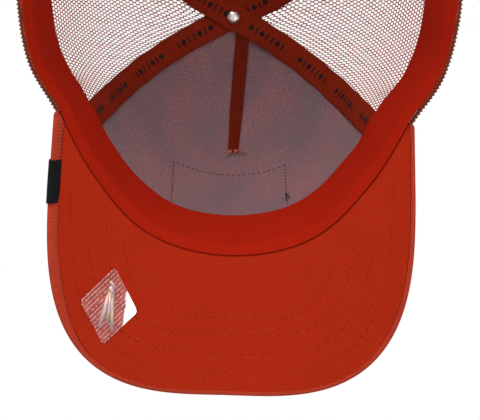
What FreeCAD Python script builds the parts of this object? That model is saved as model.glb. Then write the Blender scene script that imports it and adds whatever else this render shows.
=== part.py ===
import FreeCAD, Part
import math
import os

# Trucker cap: padded fabric front, mesh sides and back, stiff curved visor, snap closure.
# Everything is first built in the cap's own frame, in millimetres: the wearer faces -Y, the
# wearer's left is +X, +Z is up, and the rim of the crown lies near z = 0. The finished cap is
# then tipped nose-up until it rests on the rear of its rim and the two sides of its visor.

Vector = FreeCAD.Vector

# ---------------------------------------------------------------- driving dimensions
# Crown. Angles run around the rim from the front (0) to the back (180), the same on both sides.
RIM_RADIUS = ((0, 104.4), (20, 101.8), (40, 92.2), (60, 86.1), (75, 88.3),
              (90, 89.2), (110, 92.2), (130, 95.0), (150, 97.0), (180, 99.0))
CROWN_HEIGHT = 118.6
APEX_Y = -7.7
WALL_LEAN = (11.7, 6.3, 6.0)        # front, side, back: how far the wall leans in at the rim
WALL_RISE = (69.9, 60.4, 50.0)      # length of the upright handle of each meridian
TOP_REACH = (57.3, 58.6, 62.0)      # length of the level handle of each meridian
SIDE_RIM_Z = 1.7
BACK_RIM_Z = 0.0

# Visor: a sheet curved about a sloping line, cut to a rounded outline.
VISOR_BEND_RADIUS = 114.7
VISOR_SLOPE = 23.2
VISOR_FRONT_Z = 13.1
VISOR_CORNER = 61.2
VISOR_HALF_WIDTH = 77.5
VISOR_WIDEST_Y = -73.0
VISOR_FRONT_Y = -160.9
VISOR_ROUNDNESS = 2.84
VISOR_CORNER_X = 77.1
VISOR_CORNER_Y = -43.4
VISOR_CORNER_ROUND = 2.0
UNDER_COVER = (0.0, 0.8)            # each layer's lowest and highest distance above the underside
BOARD = (0.9, 3.0)
TOP_COVER = (3.1, 4.1)
WRAP_WIDTH = (5.2, 1.6, 2.2)        # top cover folded under the edge: left side, front, right side
STITCH_ROWS = (9.5, 16.5, 24.0, 31.0)
STITCH_WIDTH = 0.6
STITCH_THICK = 0.28
PRISM_LOW = -60.0                   # upright cutting prisms reach past the whole visor
PRISM_TALL = 120.0
RIM_GAP = 0.4                       # between the visor's covers and the crown's rim, in plan
STICKER_CENTRE = (50.75, -123.2)
STICKER_SIZE = (21.1, 18.3)         # in plan: the sticker is square along the sloping surface
STICKER_TURN = 55.5
STICKER_CORNER = 3.0
STICKER_FACES = (-0.25, -0.05)
TAG_Y = (-80.0, -63.0)
TAG_REACH = 8.5
TAG_THICK = 0.5

# Layers of the crown, as distances outward from its inner surface.
LINING = (0.1, 0.5)
FOAM_INNER = 0.55
FOAM_THICK = 2.0
FOAM_PRESSED = 0.45
FOAM_SIDE = 0.09                    # share of the front's width over which the foam thickens
FOAM_TOP = 0.14                     # share of its height over which it thins at the top
FOAM_BOTTOM = 0.08                  # and at the visor
FRONT_CLOTH = 0.9
MESH = (0.1, 0.9)
LAYER_GAP = 0.05
PATCH_HALF_WIDTH = 27.5
PATCH_LOW = 13.0
PATCH_HIGH = 71.0
PATCH_CLOTH = 1.2
BORDER_WIDTH = 2.6
BORDER_THICK = 1.65

# Seams between the panels, as rim angle at the bottom and at the top.
FRONT_SEAM = (52.0, 60.0)
BACK_SEAM = (124.0, 111.0)
SEAM_GAP = 0.3
TOP_HOLE_RADIUS = 5.0
TAPE_WIDTH = 12.0
TAPE_OUTER = -0.35
TAPE_THICK = 0.6
TAPE_STEP = 0.75
TAPE_START = 6.6
TAPE_BEND = 90.0                    # radius that a tape is bent to across its width
DART_WIDTH = 6.2
DART_END = 85.5
DART_TOP = 0.062                    # crown parameter left between the dart tape and the apex
DART_SHIFT = (1.8, 5.3)             # how far it lies towards the wearer's right, low and high

# Sweatband.
BAND_HEIGHT = 33.0
BAND_END = 142.0
BAND_ROOT = -0.7                    # its inner face at the rim
BAND_STAND_OFF = 1.9                # how far it then stands in from the crown
BAND_TURN = 7.0                     # height over which it comes to stand off
BAND_CLOTH = 0.65
INTERLINING_LOW = 10.0
INTERLINING_FACES = (-1.9, -1.3)

# Button and rivet at the top.
BUTTON_RADIUS = 7.6
BUTTON_HEIGHT = 5.0
BUTTON_SEAT = 2.3                   # height of the button's edge above the top of the crown
BUTTON_CLOTH = 0.6
BUTTON_METAL = 0.5
RIVET_HEAD_RADIUS = 3.4
RIVET_HEAD_RISE = 2.0
RIVET_SHAFT_RADIUS = 1.4
RIVET_CLEARANCE = 0.25

# Rear opening, its binding and the two straps of the closure.
OPENING_HALF_WIDTH = 46.0
OPENING_HEIGHT = 50.0
BINDING_OUTSIDE = 5.5
BINDING_INSIDE = 1.2
BINDING_FACES = (-0.7, 1.7)
BINDING_CHANNEL = (0.05, 0.95)      # room inside the folded binding for the mesh
BINDING_SPAN = (138.0, 222.0)       # rim angles that the binding lies between
BINDING_LOW = 0.3
BINDING_TALL = 68.0
BACK_TAPE_GAP = 6.0                 # between the binding and the end of the back tape
STRAP_CENTRE_Y = 13.0
STRAP_RADIUS = 84.8                 # outer face of the outer strap, at the height of the rim
STRAP_LEAN = 10.0
STRAP_THICK = 1.4
STRAP_GAP = 0.2
STRAP_LOW = 2.5
STRAP_TALL = 17.0
STRAP_HINGE = 29.0                  # angle of each strap's bending line from the middle of the back
STRAP_ROOT_END = 40.5
STRAP_TIP = 13.8
HINGE_CLEARANCE = 0.3
SNAP_PITCH = 6.4
SNAP_COUNT = 6
HOLE_RADIUS = 2.3
PEG_RADIUS = 1.5
PEG_RISE = 2.2
TIP_FILLET = 6.0
LOOP_RADIUS = 0.25                  # thread loops that sew the strap roots on
LOOP_LENGTH = 1.8
LOOP_PITCH = 2.6
LOOP_ROWS = (1.2, 6.2)              # back from the end of each root, in degrees

# How the cap rests: tipped about the X axis, then moved to stand on z = 0.
REST_TILT = -5.64
REST_SHIFT = (0.0, 32.04, 7.855)

os.makedirs("parts", exist_ok=True)


# ---------------------------------------------------------------- small helpers
def clamp(value):
    return max(0.0, min(1.0, value))


def smoothstep(value):
    value = clamp(value)
    return value * value * (3.0 - 2.0 * value)


def smooth_through(points, position):
    """Cubic through (position, value) pairs, level at both ends."""
    last = len(points) - 1
    index = 0
    while index < last - 1 and position > points[index + 1][0]:
        index += 1

    def slope(at):
        if at == 0 or at == last:
            return 0.0
        rise = points[at + 1][1] - points[at - 1][1]
        return rise / (points[at + 1][0] - points[at - 1][0])

    start, end = points[index], points[index + 1]
    span = end[0] - start[0]
    t = clamp((position - start[0]) / span)
    value = start[1] * (2 * t ** 3 - 3 * t ** 2 + 1)
    value += end[1] * (3 * t ** 2 - 2 * t ** 3)
    value += slope(index) * span * (t ** 3 - 2 * t ** 2 + t)
    value += slope(index + 1) * span * (t ** 3 - t ** 2)
    return value


def around(angle, values):
    """Blend front, side and back values by the angle from the front."""
    front, side, back = values
    lean = math.cos(math.radians(angle))
    end = front if lean > 0 else back
    return side + (end - side) * lean * lean


# ---------------------------------------------------------------- crown surface
def visor_z(x, y):
    sag = VISOR_BEND_RADIUS - math.sqrt(VISOR_BEND_RADIUS ** 2 - x * x)
    return VISOR_FRONT_Z - sag + math.tan(math.radians(VISOR_SLOPE)) * (y + RIM_RADIUS[0][1])


def rim_point(angle):
    turn = abs((angle + 180.0) % 360.0 - 180.0)
    radius = smooth_through(RIM_RADIUS, turn)
    x = radius * math.sin(math.radians(angle))
    y = -radius * math.cos(math.radians(angle))
    backwards = 0.5 - 0.5 * math.cos(math.pi * clamp((turn - 90.0) / 90.0))
    rear_z = SIDE_RIM_Z + (BACK_RIM_Z - SIDE_RIM_Z) * backwards
    share = smoothstep((turn - VISOR_CORNER) / 35.0)
    front_z = visor_z(x, y) if share < 1.0 else 0.0
    return Vector(x, y, front_z * (1.0 - share) + rear_z * share)


def crown_point(angle, s):
    """Point on the crown's inner surface: s = 0 is the rim and s = 1 is the apex."""
    rim = rim_point(angle)
    reach = math.hypot(rim.x, rim.y - APEX_Y)
    lean = math.radians(around(angle, WALL_LEAN))
    rise = around(angle, WALL_RISE)
    handles = ((reach, rim.z),
               (reach - rise * math.sin(lean), rim.z + rise * math.cos(lean)),
               (around(angle, TOP_REACH), CROWN_HEIGHT),
               (0.0, CROWN_HEIGHT))
    weights = ((1 - s) ** 3, 3 * s * (1 - s) ** 2, 3 * s * s * (1 - s), s ** 3)
    radius = sum(w * h[0] for w, h in zip(weights, handles))
    height = sum(w * h[1] for w, h in zip(weights, handles))
    return Vector(radius * rim.x / reach, APEX_Y + radius * (rim.y - APEX_Y) / reach, height)


def crown_normal(angle, s):
    if s > 0.995:
        return Vector(0, 0, 1)
    around_step = crown_point(angle + 0.2, s) - crown_point(angle - 0.2, s)
    low = max(s - 0.002, 0.0)
    up_step = crown_point(angle, low + 0.004) - crown_point(angle, low)
    return around_step.cross(up_step).normalize()


def crown_offset(angle, s, distance):
    return crown_point(angle, s) + crown_normal(angle, s) * distance


def station(angle, length):
    """Meridian parameter at a length measured up the crown from the rim."""
    steps = 80
    here = crown_point(angle, 0.0)
    run = 0.0
    for index in range(1, steps + 1):
        there = crown_point(angle, index / steps)
        stretch = (there - here).Length
        if run + stretch >= length:
            return (index - 1 + (length - run) / stretch) / steps
        run += stretch
        here = there
    return 1.0


def top_station(angle, radius):
    """Meridian parameter where the crown is this far from the axis of the button."""
    low, high = 0.6, 1.0
    while high - low > 1e-5:
        middle = 0.5 * (low + high)
        point = crown_point(angle, middle)
        if math.hypot(point.x, point.y - APEX_Y) > radius:
            low = middle
        else:
            high = middle
    return low


def front_seam(s):
    return FRONT_SEAM[0] + (FRONT_SEAM[1] - FRONT_SEAM[0]) * s * s


def back_seam(s):
    return BACK_SEAM[0] + (BACK_SEAM[1] - BACK_SEAM[0]) * s * s


def seam_clearance(angle, s):
    """Half the gap between two panels, as an angle."""
    point = crown_point(angle, s)
    return math.degrees(0.5 * SEAM_GAP / math.hypot(point.x, point.y - APEX_Y))


# ---------------------------------------------------------------- solids from curved sheets
def sheet(grid):
    surface = Part.BSplineSurface()
    surface.interpolate(grid)
    return surface


def slab(point, inner, outer, columns, rows):
    """Closed solid between two sheets. point(u, v, distance) places a point, and inner and
    outer give the distance of each sheet at u, v."""
    def grid(distance):
        return [[point(i / columns, j / rows, distance(i / columns, j / rows))
                 for j in range(rows + 1)] for i in range(columns + 1)]

    low = sheet(grid(inner))
    high = sheet(grid(outer))
    faces = [low.toShape(), high.toShape()]
    u0, u1, v0, v1 = low.bounds()
    p0, p1, q0, q1 = high.bounds()
    edges = ((low.uIso(u0), high.uIso(p0)), (low.uIso(u1), high.uIso(p1)),
             (low.vIso(v0), high.vIso(q0)), (low.vIso(v1), high.vIso(q1)))
    for first, second in edges:
        faces.append(Part.makeRuledSurface(first.toShape(), second.toShape()))
    shell = Part.Compound(faces)
    shell.sewShape()
    solid = Part.Solid(shell.Shells[0])
    if solid.Volume < 0:
        solid.reverse()
    return solid


def level(distance):
    return lambda u, v: distance


def panel_point(left, right, bottom, top_radius):
    """Placing function for a panel between two seams, from a length above the rim upward."""
    def place(u, v, distance):
        s = 0.3
        for _ in range(5):
            angle = left(s) + (right(s) - left(s)) * u
            low = station(angle, bottom(angle))
            s = low + (top_station(angle, top_radius) - low) * v
        return crown_offset(angle, s, distance)
    return place


def save(node, shape):
    placed = shape.copy()
    placed.rotate(Vector(0, 0, 0), Vector(1, 0, 0), REST_TILT)
    placed.translate(Vector(*REST_SHIFT))
    solids = placed.Solids
    kept = solids[0] if len(solids) == 1 else Part.Compound(solids)
    kept.exportStep("parts/" + node + ".step")
    box = kept.optimalBoundingBox()
    print("%-22s solids %3d valid %s volume %8.1f  y %.1f..%.1f z %.2f..%.2f" % (
        node, len(solids), kept.isValid(), kept.Volume, box.YMin, box.YMax, box.ZMin, box.ZMax))


# ---------------------------------------------------------------- front of the crown
def visor_clearance(angle):
    """Height of the panels' lower edge above the rim: clear of the visor's thickness."""
    turn = abs(angle)
    over_visor = 5.2 + 1.2 * clamp(turn / VISOR_CORNER) ** 2
    return over_visor + (0.3 - over_visor) * smoothstep((turn - VISOR_CORNER - 0.3) / 4.0)


def front_place(bottom=visor_clearance, top_radius=TOP_HOLE_RADIUS):
    def left(s):
        return -front_seam(s) + seam_clearance(front_seam(s), s)

    def right(s):
        return front_seam(s) - seam_clearance(front_seam(s), s)

    return panel_point(left, right, bottom, top_radius)


def foam_outer(u, v):
    """The foam is pressed thin along its seams and full between them."""
    edge = min(u, 1.0 - u) / FOAM_SIDE
    top = (1.0 - v) / FOAM_TOP
    bottom = 0.5 + v / FOAM_BOTTOM
    fullness = smoothstep(edge) * smoothstep(top) * clamp(bottom)
    return FOAM_INNER + FOAM_PRESSED + (FOAM_THICK - FOAM_PRESSED) * fullness


def cloth_inner(u, v):
    return foam_outer(u, v) + LAYER_GAP


def cloth_outer(u, v):
    return foam_outer(u, v) + LAYER_GAP + FRONT_CLOTH


def make_front():
    place = front_place()
    save("front_lining", slab(place, level(LINING[0]), level(LINING[1]), 24, 18))
    save("front_foam", slab(place, level(FOAM_INNER), foam_outer, 36, 24))
    save("front_panel", slab(place, cloth_inner, cloth_outer, 36, 24))


# ---------------------------------------------------------------- mesh panels
def opening_prism(grow):
    """Half-oval prism along Y through the back of the crown. It is taller than it is wide."""
    top = Vector(0, 0, OPENING_HEIGHT + grow)
    side = Vector(OPENING_HALF_WIDTH + grow, 0, 0)
    ellipse = Part.Ellipse(top, side, Vector(0, 0, 0))
    face = Part.Face(Part.Wire(ellipse.toShape()))
    return face.extrude(Vector(0, 150, 0))


def side_panel(side):
    def left(s):
        return side * (front_seam(s) + seam_clearance(front_seam(s), s))

    def right(s):
        return side * (back_seam(s) - seam_clearance(back_seam(s), s))

    place = panel_point(left, right, visor_clearance, TOP_HOLE_RADIUS)
    return slab(place, level(MESH[0]), level(MESH[1]), 24, 18)


def back_panel(side):
    def left(s):
        return side * (back_seam(s) + seam_clearance(back_seam(s), s))

    def right(s):
        return side * (180.0 - seam_clearance(180.0, s))

    place = panel_point(left, right, visor_clearance, TOP_HOLE_RADIUS)
    whole = slab(place, level(MESH[0]), level(MESH[1]), 18, 18)
    return whole.cut(opening_prism(0.0))


def make_mesh():
    save("left_side_mesh", side_panel(1))
    save("right_side_mesh", side_panel(-1))
    save("left_back_mesh", back_panel(1))
    save("right_back_mesh", back_panel(-1))


# ---------------------------------------------------------------- tapes over the seams, inside
def tape(centre, width, first, last, depth, steps, shift=(0.0, 0.0)):
    """Flat ribbon along centre(q), which gives rim angle and meridian parameter.
    depth(q) is how much deeper than the lowest layer the ribbon lies, and shift is how far
    it lies to one side of the centre line at its first and last end."""
    def place(u, v, distance):
        q = first + (last - first) * u
        here = crown_point(*centre(q))
        step = crown_point(*centre(q + 0.004)) - crown_point(*centre(q - 0.004))
        normal = crown_normal(*centre(q))
        across = normal.cross(step).normalize()
        offset = shift[0] + (shift[1] - shift[0]) * u + width * (v - 0.5)
        return here + across * offset + normal * (distance - depth(q) - offset ** 2 / (2 * TAPE_BEND))

    return slab(place, level(TAPE_OUTER - TAPE_THICK), level(TAPE_OUTER), steps, 4)


def over_the_top(side):
    """Centre line from one front seam over the apex and down the opposite back seam."""
    def centre(q):
        if q < 0:
            s = 1.0 + q
            return side * front_seam(s), s
        s = 1.0 - q
        return -side * back_seam(s), s
    return centre


def lifted(levels):
    """Extra depth near the button, where the ribbons lie on each other."""
    def depth(q):
        return levels * TAPE_STEP * (1.0 - smoothstep((abs(q) - 0.10) / 0.14))
    return depth


def shaft_hole():
    base = Vector(0, APEX_Y, CROWN_HEIGHT - 12)
    return Part.makeCylinder(RIVET_SHAFT_RADIUS + 0.15, 24, base)


def make_tapes():
    hole = shaft_hole()
    start = station(FRONT_SEAM[0], TAPE_START) - 1.0
    finish = 1.0 - station(BACK_SEAM[0], TAPE_START)
    for node, side, levels in (("left_seam_tape", 1, 0), ("right_seam_tape", -1, 2)):
        ribbon = tape(over_the_top(side), TAPE_WIDTH, start, finish, lifted(levels), 60)
        save(node, ribbon.cut(hole))

    def forward(q):
        return 0.0, 1.0 + q

    def backward(q):
        return 180.0, 1.0 - q

    save("dart_tape", tape(forward, DART_WIDTH, station(0.0, DART_END) - 1.0, -DART_TOP,
                           lifted(1), 40, DART_SHIFT))
    above_opening = station(180.0, OPENING_HEIGHT + BINDING_OUTSIDE + BACK_TAPE_GAP)
    back = tape(backward, TAPE_WIDTH, 0.012, 1.0 - above_opening, lifted(1), 40)
    save("back_seam_tape", back.cut(hole))


# ---------------------------------------------------------------- sweatband
def band_place(low, high):
    def place(u, v, distance):
        angle = BAND_END * (2.0 * u - 1.0)
        length = low + (high - low) * v
        return crown_offset(angle, station(angle, length), distance)
    return place


def make_sweatband():
    def inner(u, v):
        return BAND_ROOT - BAND_STAND_OFF * smoothstep(v * BAND_HEIGHT / BAND_TURN)

    def outer(u, v):
        return inner(u, v) + BAND_CLOTH

    save("sweatband", slab(band_place(0.0, BAND_HEIGHT), inner, outer, 72, 16))
    low, high = INTERLINING_FACES
    stiffener = slab(band_place(INTERLINING_LOW, BAND_HEIGHT - 1.0), level(low), level(high), 72, 8)
    save("sweatband_interlining", stiffener)


# ---------------------------------------------------------------- visor
def visor_layer(low, high):
    """Everything between two distances above the visor's underside."""
    slope = math.radians(VISOR_SLOPE)
    along = Vector(0, math.cos(slope), math.sin(slope))
    up = Vector(0, -math.sin(slope), math.cos(slope))
    origin = Vector(0, -RIM_RADIUS[0][1], VISOR_FRONT_Z) - along * 90.0
    half = 90.0
    steps = 24

    def section(distance):
        points = []
        for index in range(steps + 1):
            x = half * (2.0 * index / steps - 1.0)
            root = math.sqrt(VISOR_BEND_RADIUS ** 2 - x * x)
            drop = (root - VISOR_BEND_RADIUS) * math.cos(slope)
            tangent = -x / root * math.cos(slope)
            length = math.hypot(1.0, tangent)
            points.append(origin + Vector(x - distance * tangent / length, 0, 0)
                          + up * (drop + distance / length))
        return points

    def curve(points):
        line = Part.BSplineCurve()
        line.interpolate(points)
        return line.toShape()

    lower, upper = section(low), section(high)
    outline = Part.Wire([curve(lower), Part.LineSegment(lower[-1], upper[-1]).toShape(),
                         curve(upper[::-1]), Part.LineSegment(upper[0], lower[0]).toShape()])
    return Part.Face(outline).extrude(along * 190.0)


def visor_prism(insets, rim_gap, blunt=0.0):
    """Upright prism over the visor's outline. insets pulls the outline in at the left side,
    the front and the right side. rim_gap keeps the prism clear of the crown's rim, and None
    carries it on under the crown."""
    left_in, front_in, right_in = insets
    depth = VISOR_WIDEST_Y - VISOR_FRONT_Y - front_in
    steps = 32
    curve_points = []
    for index in range(steps + 1):
        turn = math.pi * (index / steps - 0.5)
        half = VISOR_HALF_WIDTH - (left_in if turn > 0 else right_in)
        share = 2.0 / VISOR_ROUNDNESS
        x = math.copysign(half * abs(math.sin(turn)) ** share, turn)
        y = VISOR_WIDEST_Y - depth * max(math.cos(turn), 0.0) ** share
        curve_points.append(Vector(x, y, PRISM_LOW))
    front = Part.BSplineCurve()
    front.interpolate(curve_points)
    end_y = -10.0 if rim_gap is None else VISOR_CORNER_Y - blunt
    slant = (VISOR_HALF_WIDTH - VISOR_CORNER_X) / (VISOR_CORNER_Y - VISOR_WIDEST_Y)
    narrowing = slant * (end_y - VISOR_WIDEST_Y)
    left_end = Vector(VISOR_HALF_WIDTH - left_in - narrowing, end_y, PRISM_LOW)
    right_end = Vector(-VISOR_HALF_WIDTH + right_in + narrowing, end_y, PRISM_LOW)
    edges = [front.toShape(),
             Part.LineSegment(curve_points[-1], left_end).toShape(),
             Part.LineSegment(left_end, right_end).toShape(),
             Part.LineSegment(right_end, curve_points[0]).toShape()]
    prism = Part.Face(Part.Wire(edges)).extrude(Vector(0, 0, PRISM_TALL))
    if rim_gap is None:
        return prism
    corners = [edge for edge in prism.Edges
               if abs(edge.CenterOfMass.z) < 1.0 and abs(edge.CenterOfMass.y - end_y) < 0.1
               and abs(edge.CenterOfMass.x) > 60.0]
    return prism.makeFillet(VISOR_CORNER_ROUND, corners).cut(rim_prism(rim_gap))


def rim_prism(gap):
    """Upright prism over the front of the rim, grown outward by gap."""
    base = PRISM_LOW - 10.0
    points = []
    for index in range(33):
        angle = -80.0 + 160.0 * index / 32
        rim = rim_point(angle)
        ahead = rim_point(angle + 0.5) - rim_point(angle - 0.5)
        outward = Vector(ahead.y, -ahead.x, 0).normalize()
        points.append(Vector(rim.x, rim.y, base) + outward * gap)
    line = Part.BSplineCurve()
    line.interpolate(points)
    closing = Part.makePolygon([points[-1], Vector(0, 60, base), points[0]])
    wire = Part.Wire([line.toShape()] + closing.Edges)
    return Part.Face(wire).extrude(Vector(0, 0, PRISM_TALL + 20.0))


def sticker_prism(grow):
    length, width = STICKER_SIZE[0] + 2 * grow, STICKER_SIZE[1] + 2 * grow
    box = Part.makeBox(length, width, PRISM_TALL, Vector(-0.5 * length, -0.5 * width, PRISM_LOW))
    upright = [edge for edge in box.Edges if abs(edge.tangentAt(0).z) > 0.9]
    box = box.makeFillet(STICKER_CORNER + grow, upright)
    box.rotate(Vector(0, 0, 0), Vector(0, 0, 1), STICKER_TURN)
    box.translate(Vector(STICKER_CENTRE[0], STICKER_CENTRE[1], 0))
    return box


def tag_prism(grow):
    low_x = VISOR_HALF_WIDTH - TAG_REACH - grow
    return Part.makeBox(TAG_REACH + 8.0, TAG_Y[1] - TAG_Y[0] + 2 * grow, PRISM_TALL,
                        Vector(low_x, TAG_Y[0] - grow, PRISM_LOW))


def make_visor():
    under = visor_prism([wrap + 0.1 for wrap in WRAP_WIDTH], RIM_GAP)
    save("visor_under_cover", under.common(visor_layer(*UNDER_COVER)))
    board = visor_prism((1.0, 1.0, 1.0), RIM_GAP + 1.0, 4.0)
    save("visor_board", board.common(visor_layer(*BOARD)))
    whole = visor_prism((0.0, 0.0, 0.0), RIM_GAP).common(visor_layer(0.0, TOP_COVER[1]))
    core = visor_prism((0.95, 0.95, 0.95), None).common(visor_layer(0.83, TOP_COVER[0] - 0.02))
    below = visor_prism(WRAP_WIDTH, None).common(visor_layer(-2.0, 0.84))
    save("visor_top_cover", whole.cut(core).cut(below))

    upper = visor_layer(TOP_COVER[1] + 0.02, TOP_COVER[1] + 0.02 + STITCH_THICK)
    lower = visor_layer(-0.02 - STITCH_THICK, -0.02)
    keep_out = sticker_prism(0.4)
    inside = visor_prism((1.0, 1.0, 1.0), 6.0, 5.0)
    rows = []
    for inset in STITCH_ROWS:
        ring = visor_prism((inset,) * 3, None).cut(visor_prism((inset + STITCH_WIDTH,) * 3, None))
        ring = ring.common(inside)
        rows += ring.common(upper).Solids
        rows += ring.cut(keep_out).common(lower).Solids
    save("visor_stitching", Part.Compound(rows))

    sticker = sticker_prism(0.0).common(visor_layer(*STICKER_FACES))
    save("visor_sticker", sticker)
    outer_face = visor_prism((-0.05 - TAG_THICK,) * 3, None)
    wrap = outer_face.common(tag_prism(0.0)).common(visor_layer(-0.05 - TAG_THICK,
                                                               TOP_COVER[1] + 0.05 + TAG_THICK))
    hollow = visor_prism((-0.05,) * 3, None).common(visor_layer(-0.05, TOP_COVER[1] + 0.05))
    save("visor_side_tag", wrap.cut(hollow))


# ---------------------------------------------------------------- patch on the front
def patch_place(inset):
    """Upright rectangle on the front panel, measured along the crown."""
    half = PATCH_HALF_WIDTH - inset

    def place(u, v, distance):
        side = half * (2.0 * u - 1.0)
        length = PATCH_LOW + inset + (PATCH_HIGH - PATCH_LOW - 2 * inset) * v
        angle = 0.0
        for _ in range(8):
            point = crown_point(angle, station(angle, length))
            angle += math.degrees((side - point.x) / math.hypot(point.x, point.y))
        return crown_offset(angle, station(angle, length), distance)
    return place


def make_patch():
    face = FOAM_INNER + FOAM_THICK + LAYER_GAP + FRONT_CLOTH + LAYER_GAP
    save("front_patch", slab(patch_place(BORDER_WIDTH), level(face), level(face + PATCH_CLOTH), 12, 12))
    border = slab(patch_place(0.0), level(face), level(face + BORDER_THICK), 14, 14)
    middle = slab(patch_place(BORDER_WIDTH - 0.1), level(face - 2), level(face + BORDER_THICK + 2),
                  12, 12)
    save("front_patch_border", border.cut(middle))


# ---------------------------------------------------------------- button and rivet
def turned(profile):
    """Solid of revolution about the axis of the button, from (radius, height) points."""
    points = [Vector(r, APEX_Y, CROWN_HEIGHT + z) for r, z in profile]
    face = Part.Face(Part.makePolygon(points + [points[0]]))
    return face.revolve(Vector(0, APEX_Y, 0), Vector(0, 0, 1), 360)


def dome(radius, rise, base, steps=10):
    """Points of a low dome from its edge to the axis."""
    points = []
    for index in range(steps + 1):
        turn = 0.5 * math.pi * index / steps
        points.append((radius * math.cos(turn), base + rise * math.sin(turn)))
    points[-1] = (0.0, base + rise)
    return points


def make_button():
    cover = dome(BUTTON_RADIUS, BUTTON_HEIGHT, BUTTON_SEAT)
    cover += dome(BUTTON_RADIUS - BUTTON_CLOTH, BUTTON_HEIGHT - BUTTON_CLOTH, BUTTON_SEAT)[::-1]
    save("button_cover", turned(cover))
    outer = BUTTON_RADIUS - BUTTON_CLOTH - LAYER_GAP
    shell_top = BUTTON_HEIGHT - BUTTON_CLOTH - LAYER_GAP
    shell = dome(outer, shell_top, BUTTON_SEAT)
    shell += dome(outer - BUTTON_METAL, shell_top - BUTTON_METAL, BUTTON_SEAT)[::-1]
    save("button_shell", turned(shell))
    stack = TAPE_OUTER - TAPE_THICK - 2 * TAPE_STEP - RIVET_CLEARANCE
    post_top = BUTTON_SEAT + shell_top - BUTTON_METAL - RIVET_CLEARANCE
    head = [(r, -z) for r, z in dome(RIVET_HEAD_RADIUS, RIVET_HEAD_RISE, 0.5 - stack)][::-1]
    rivet = head + [(RIVET_HEAD_RADIUS, stack), (RIVET_SHAFT_RADIUS, stack),
                    (RIVET_SHAFT_RADIUS, post_top), (0.0, post_top)]
    save("button_rivet", turned(rivet))


# ---------------------------------------------------------------- rear opening
def make_binding():
    start, end = BINDING_SPAN

    def place(u, v, distance):
        angle = start + (end - start) * u
        return crown_offset(angle, station(angle, BINDING_LOW + BINDING_TALL * v), distance)

    def band(faces):
        return slab(place, level(faces[0]), level(faces[1]), 24, 14)

    ring = opening_prism(BINDING_OUTSIDE).cut(opening_prism(-BINDING_INSIDE))
    folded = ring.common(band(BINDING_FACES))
    channel = band(BINDING_CHANNEL).cut(opening_prism(-0.1))
    save("rear_opening_binding", folded.cut(channel))


def strap_radial(angle, lean=0.0):
    """Outward direction at an angle from the middle of the back."""
    turn, tip = math.radians(angle), math.radians(lean)
    return Vector(math.sin(turn) * math.cos(tip), math.cos(turn) * math.cos(tip), math.sin(tip))


def strap_point(angle, z, depth):
    """Point at a depth inside the outer strap's outer face."""
    radius = STRAP_RADIUS - depth - z * math.tan(math.radians(STRAP_LEAN))
    return Vector(0, STRAP_CENTRE_Y, z) + strap_radial(angle) * radius


def strap_band(start, end, depth):
    top = STRAP_LOW + STRAP_TALL
    corners = [strap_point(start, STRAP_LOW, depth), strap_point(start, top, depth),
               strap_point(start, top, depth + STRAP_THICK),
               strap_point(start, STRAP_LOW, depth + STRAP_THICK)]
    face = Part.Face(Part.makePolygon(corners + [corners[0]]))
    return face.revolve(Vector(0, STRAP_CENTRE_Y, 0), Vector(0, 0, 1), start - end)


def hinge_rod(side, depth):
    low = strap_point(side * STRAP_HINGE, STRAP_LOW, depth + 0.5 * STRAP_THICK)
    high = strap_point(side * STRAP_HINGE, STRAP_LOW + STRAP_TALL, depth + 0.5 * STRAP_THICK)
    return Part.makeCylinder(0.5 * STRAP_THICK, (high - low).Length, low, high - low)


def free_strap(side, depth):
    """The part of a strap that swings, from its bending line to its rounded tip."""
    start, end = side * STRAP_HINGE, -side * STRAP_TIP
    band = strap_band(min(start, end), max(start, end), depth)
    tip = strap_point(end, STRAP_LOW + 0.5 * STRAP_TALL, depth + 0.5 * STRAP_THICK)
    corners = [edge for edge in band.Edges
               if edge.Length < 2 * STRAP_THICK and (edge.CenterOfMass - tip).Length < STRAP_TALL]
    return band.makeFillet(TIP_FILLET, corners).fuse(hinge_rod(side, depth))


def snap_rod(angle, radius, low_depth, high_depth):
    middle = STRAP_LOW + 0.5 * STRAP_TALL
    outward = strap_radial(angle, STRAP_LEAN)
    base = strap_point(angle, middle, 0.0) - outward * low_depth
    return Part.makeCylinder(radius, low_depth - high_depth, base, outward)


def strap_root(side, depth):
    edge = math.degrees((0.5 * STRAP_THICK + HINGE_CLEARANCE) / STRAP_RADIUS)
    start = side * (STRAP_HINGE + edge)
    end = side * STRAP_ROOT_END
    return strap_band(min(start, end), max(start, end), depth)


def make_closure():
    peg_depth = STRAP_THICK + STRAP_GAP
    snaps = [SNAP_PITCH * (0.5 + index) - 2 * SNAP_PITCH for index in range(SNAP_COUNT)]
    holes = free_strap(1, 0.0)
    pegs = free_strap(-1, peg_depth)
    for snap in snaps:
        holes = holes.cut(snap_rod(snap, HOLE_RADIUS, 4.0, -4.0))
        pegs = pegs.fuse(snap_rod(-snap, PEG_RADIUS, peg_depth + 0.7, peg_depth - PEG_RISE))
    save("holes_strap", holes.removeSplitter())
    save("pegs_strap", pegs.removeSplitter())
    save("left_strap_root", strap_root(1, 0.0))
    save("right_strap_root", strap_root(-1, peg_depth))
    rows = []
    for side, depth in ((1, 0.0), (-1, peg_depth)):
        for back in LOOP_ROWS:
            rows += stitch_row(side * (STRAP_ROOT_END - back), depth + STRAP_THICK + 0.05)
    save("strap_stitching", Part.Compound(rows))


def stitch_row(angle, depth):
    """A line of short thread loops up the inner face of a strap root."""
    loops = []
    z = STRAP_LOW + 1.5
    while z < STRAP_LOW + STRAP_TALL - 2.5:
        low = strap_point(angle, z, depth + LOOP_RADIUS)
        high = strap_point(angle, z + LOOP_LENGTH, depth + LOOP_RADIUS)
        loops.append(Part.makeCylinder(LOOP_RADIUS, (high - low).Length, low, high - low))
        z += LOOP_PITCH
    return loops


make_front()
make_mesh()
make_tapes()
make_sweatband()
make_visor()
make_patch()
make_button()
make_binding()
make_closure()
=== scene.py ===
import math

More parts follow.
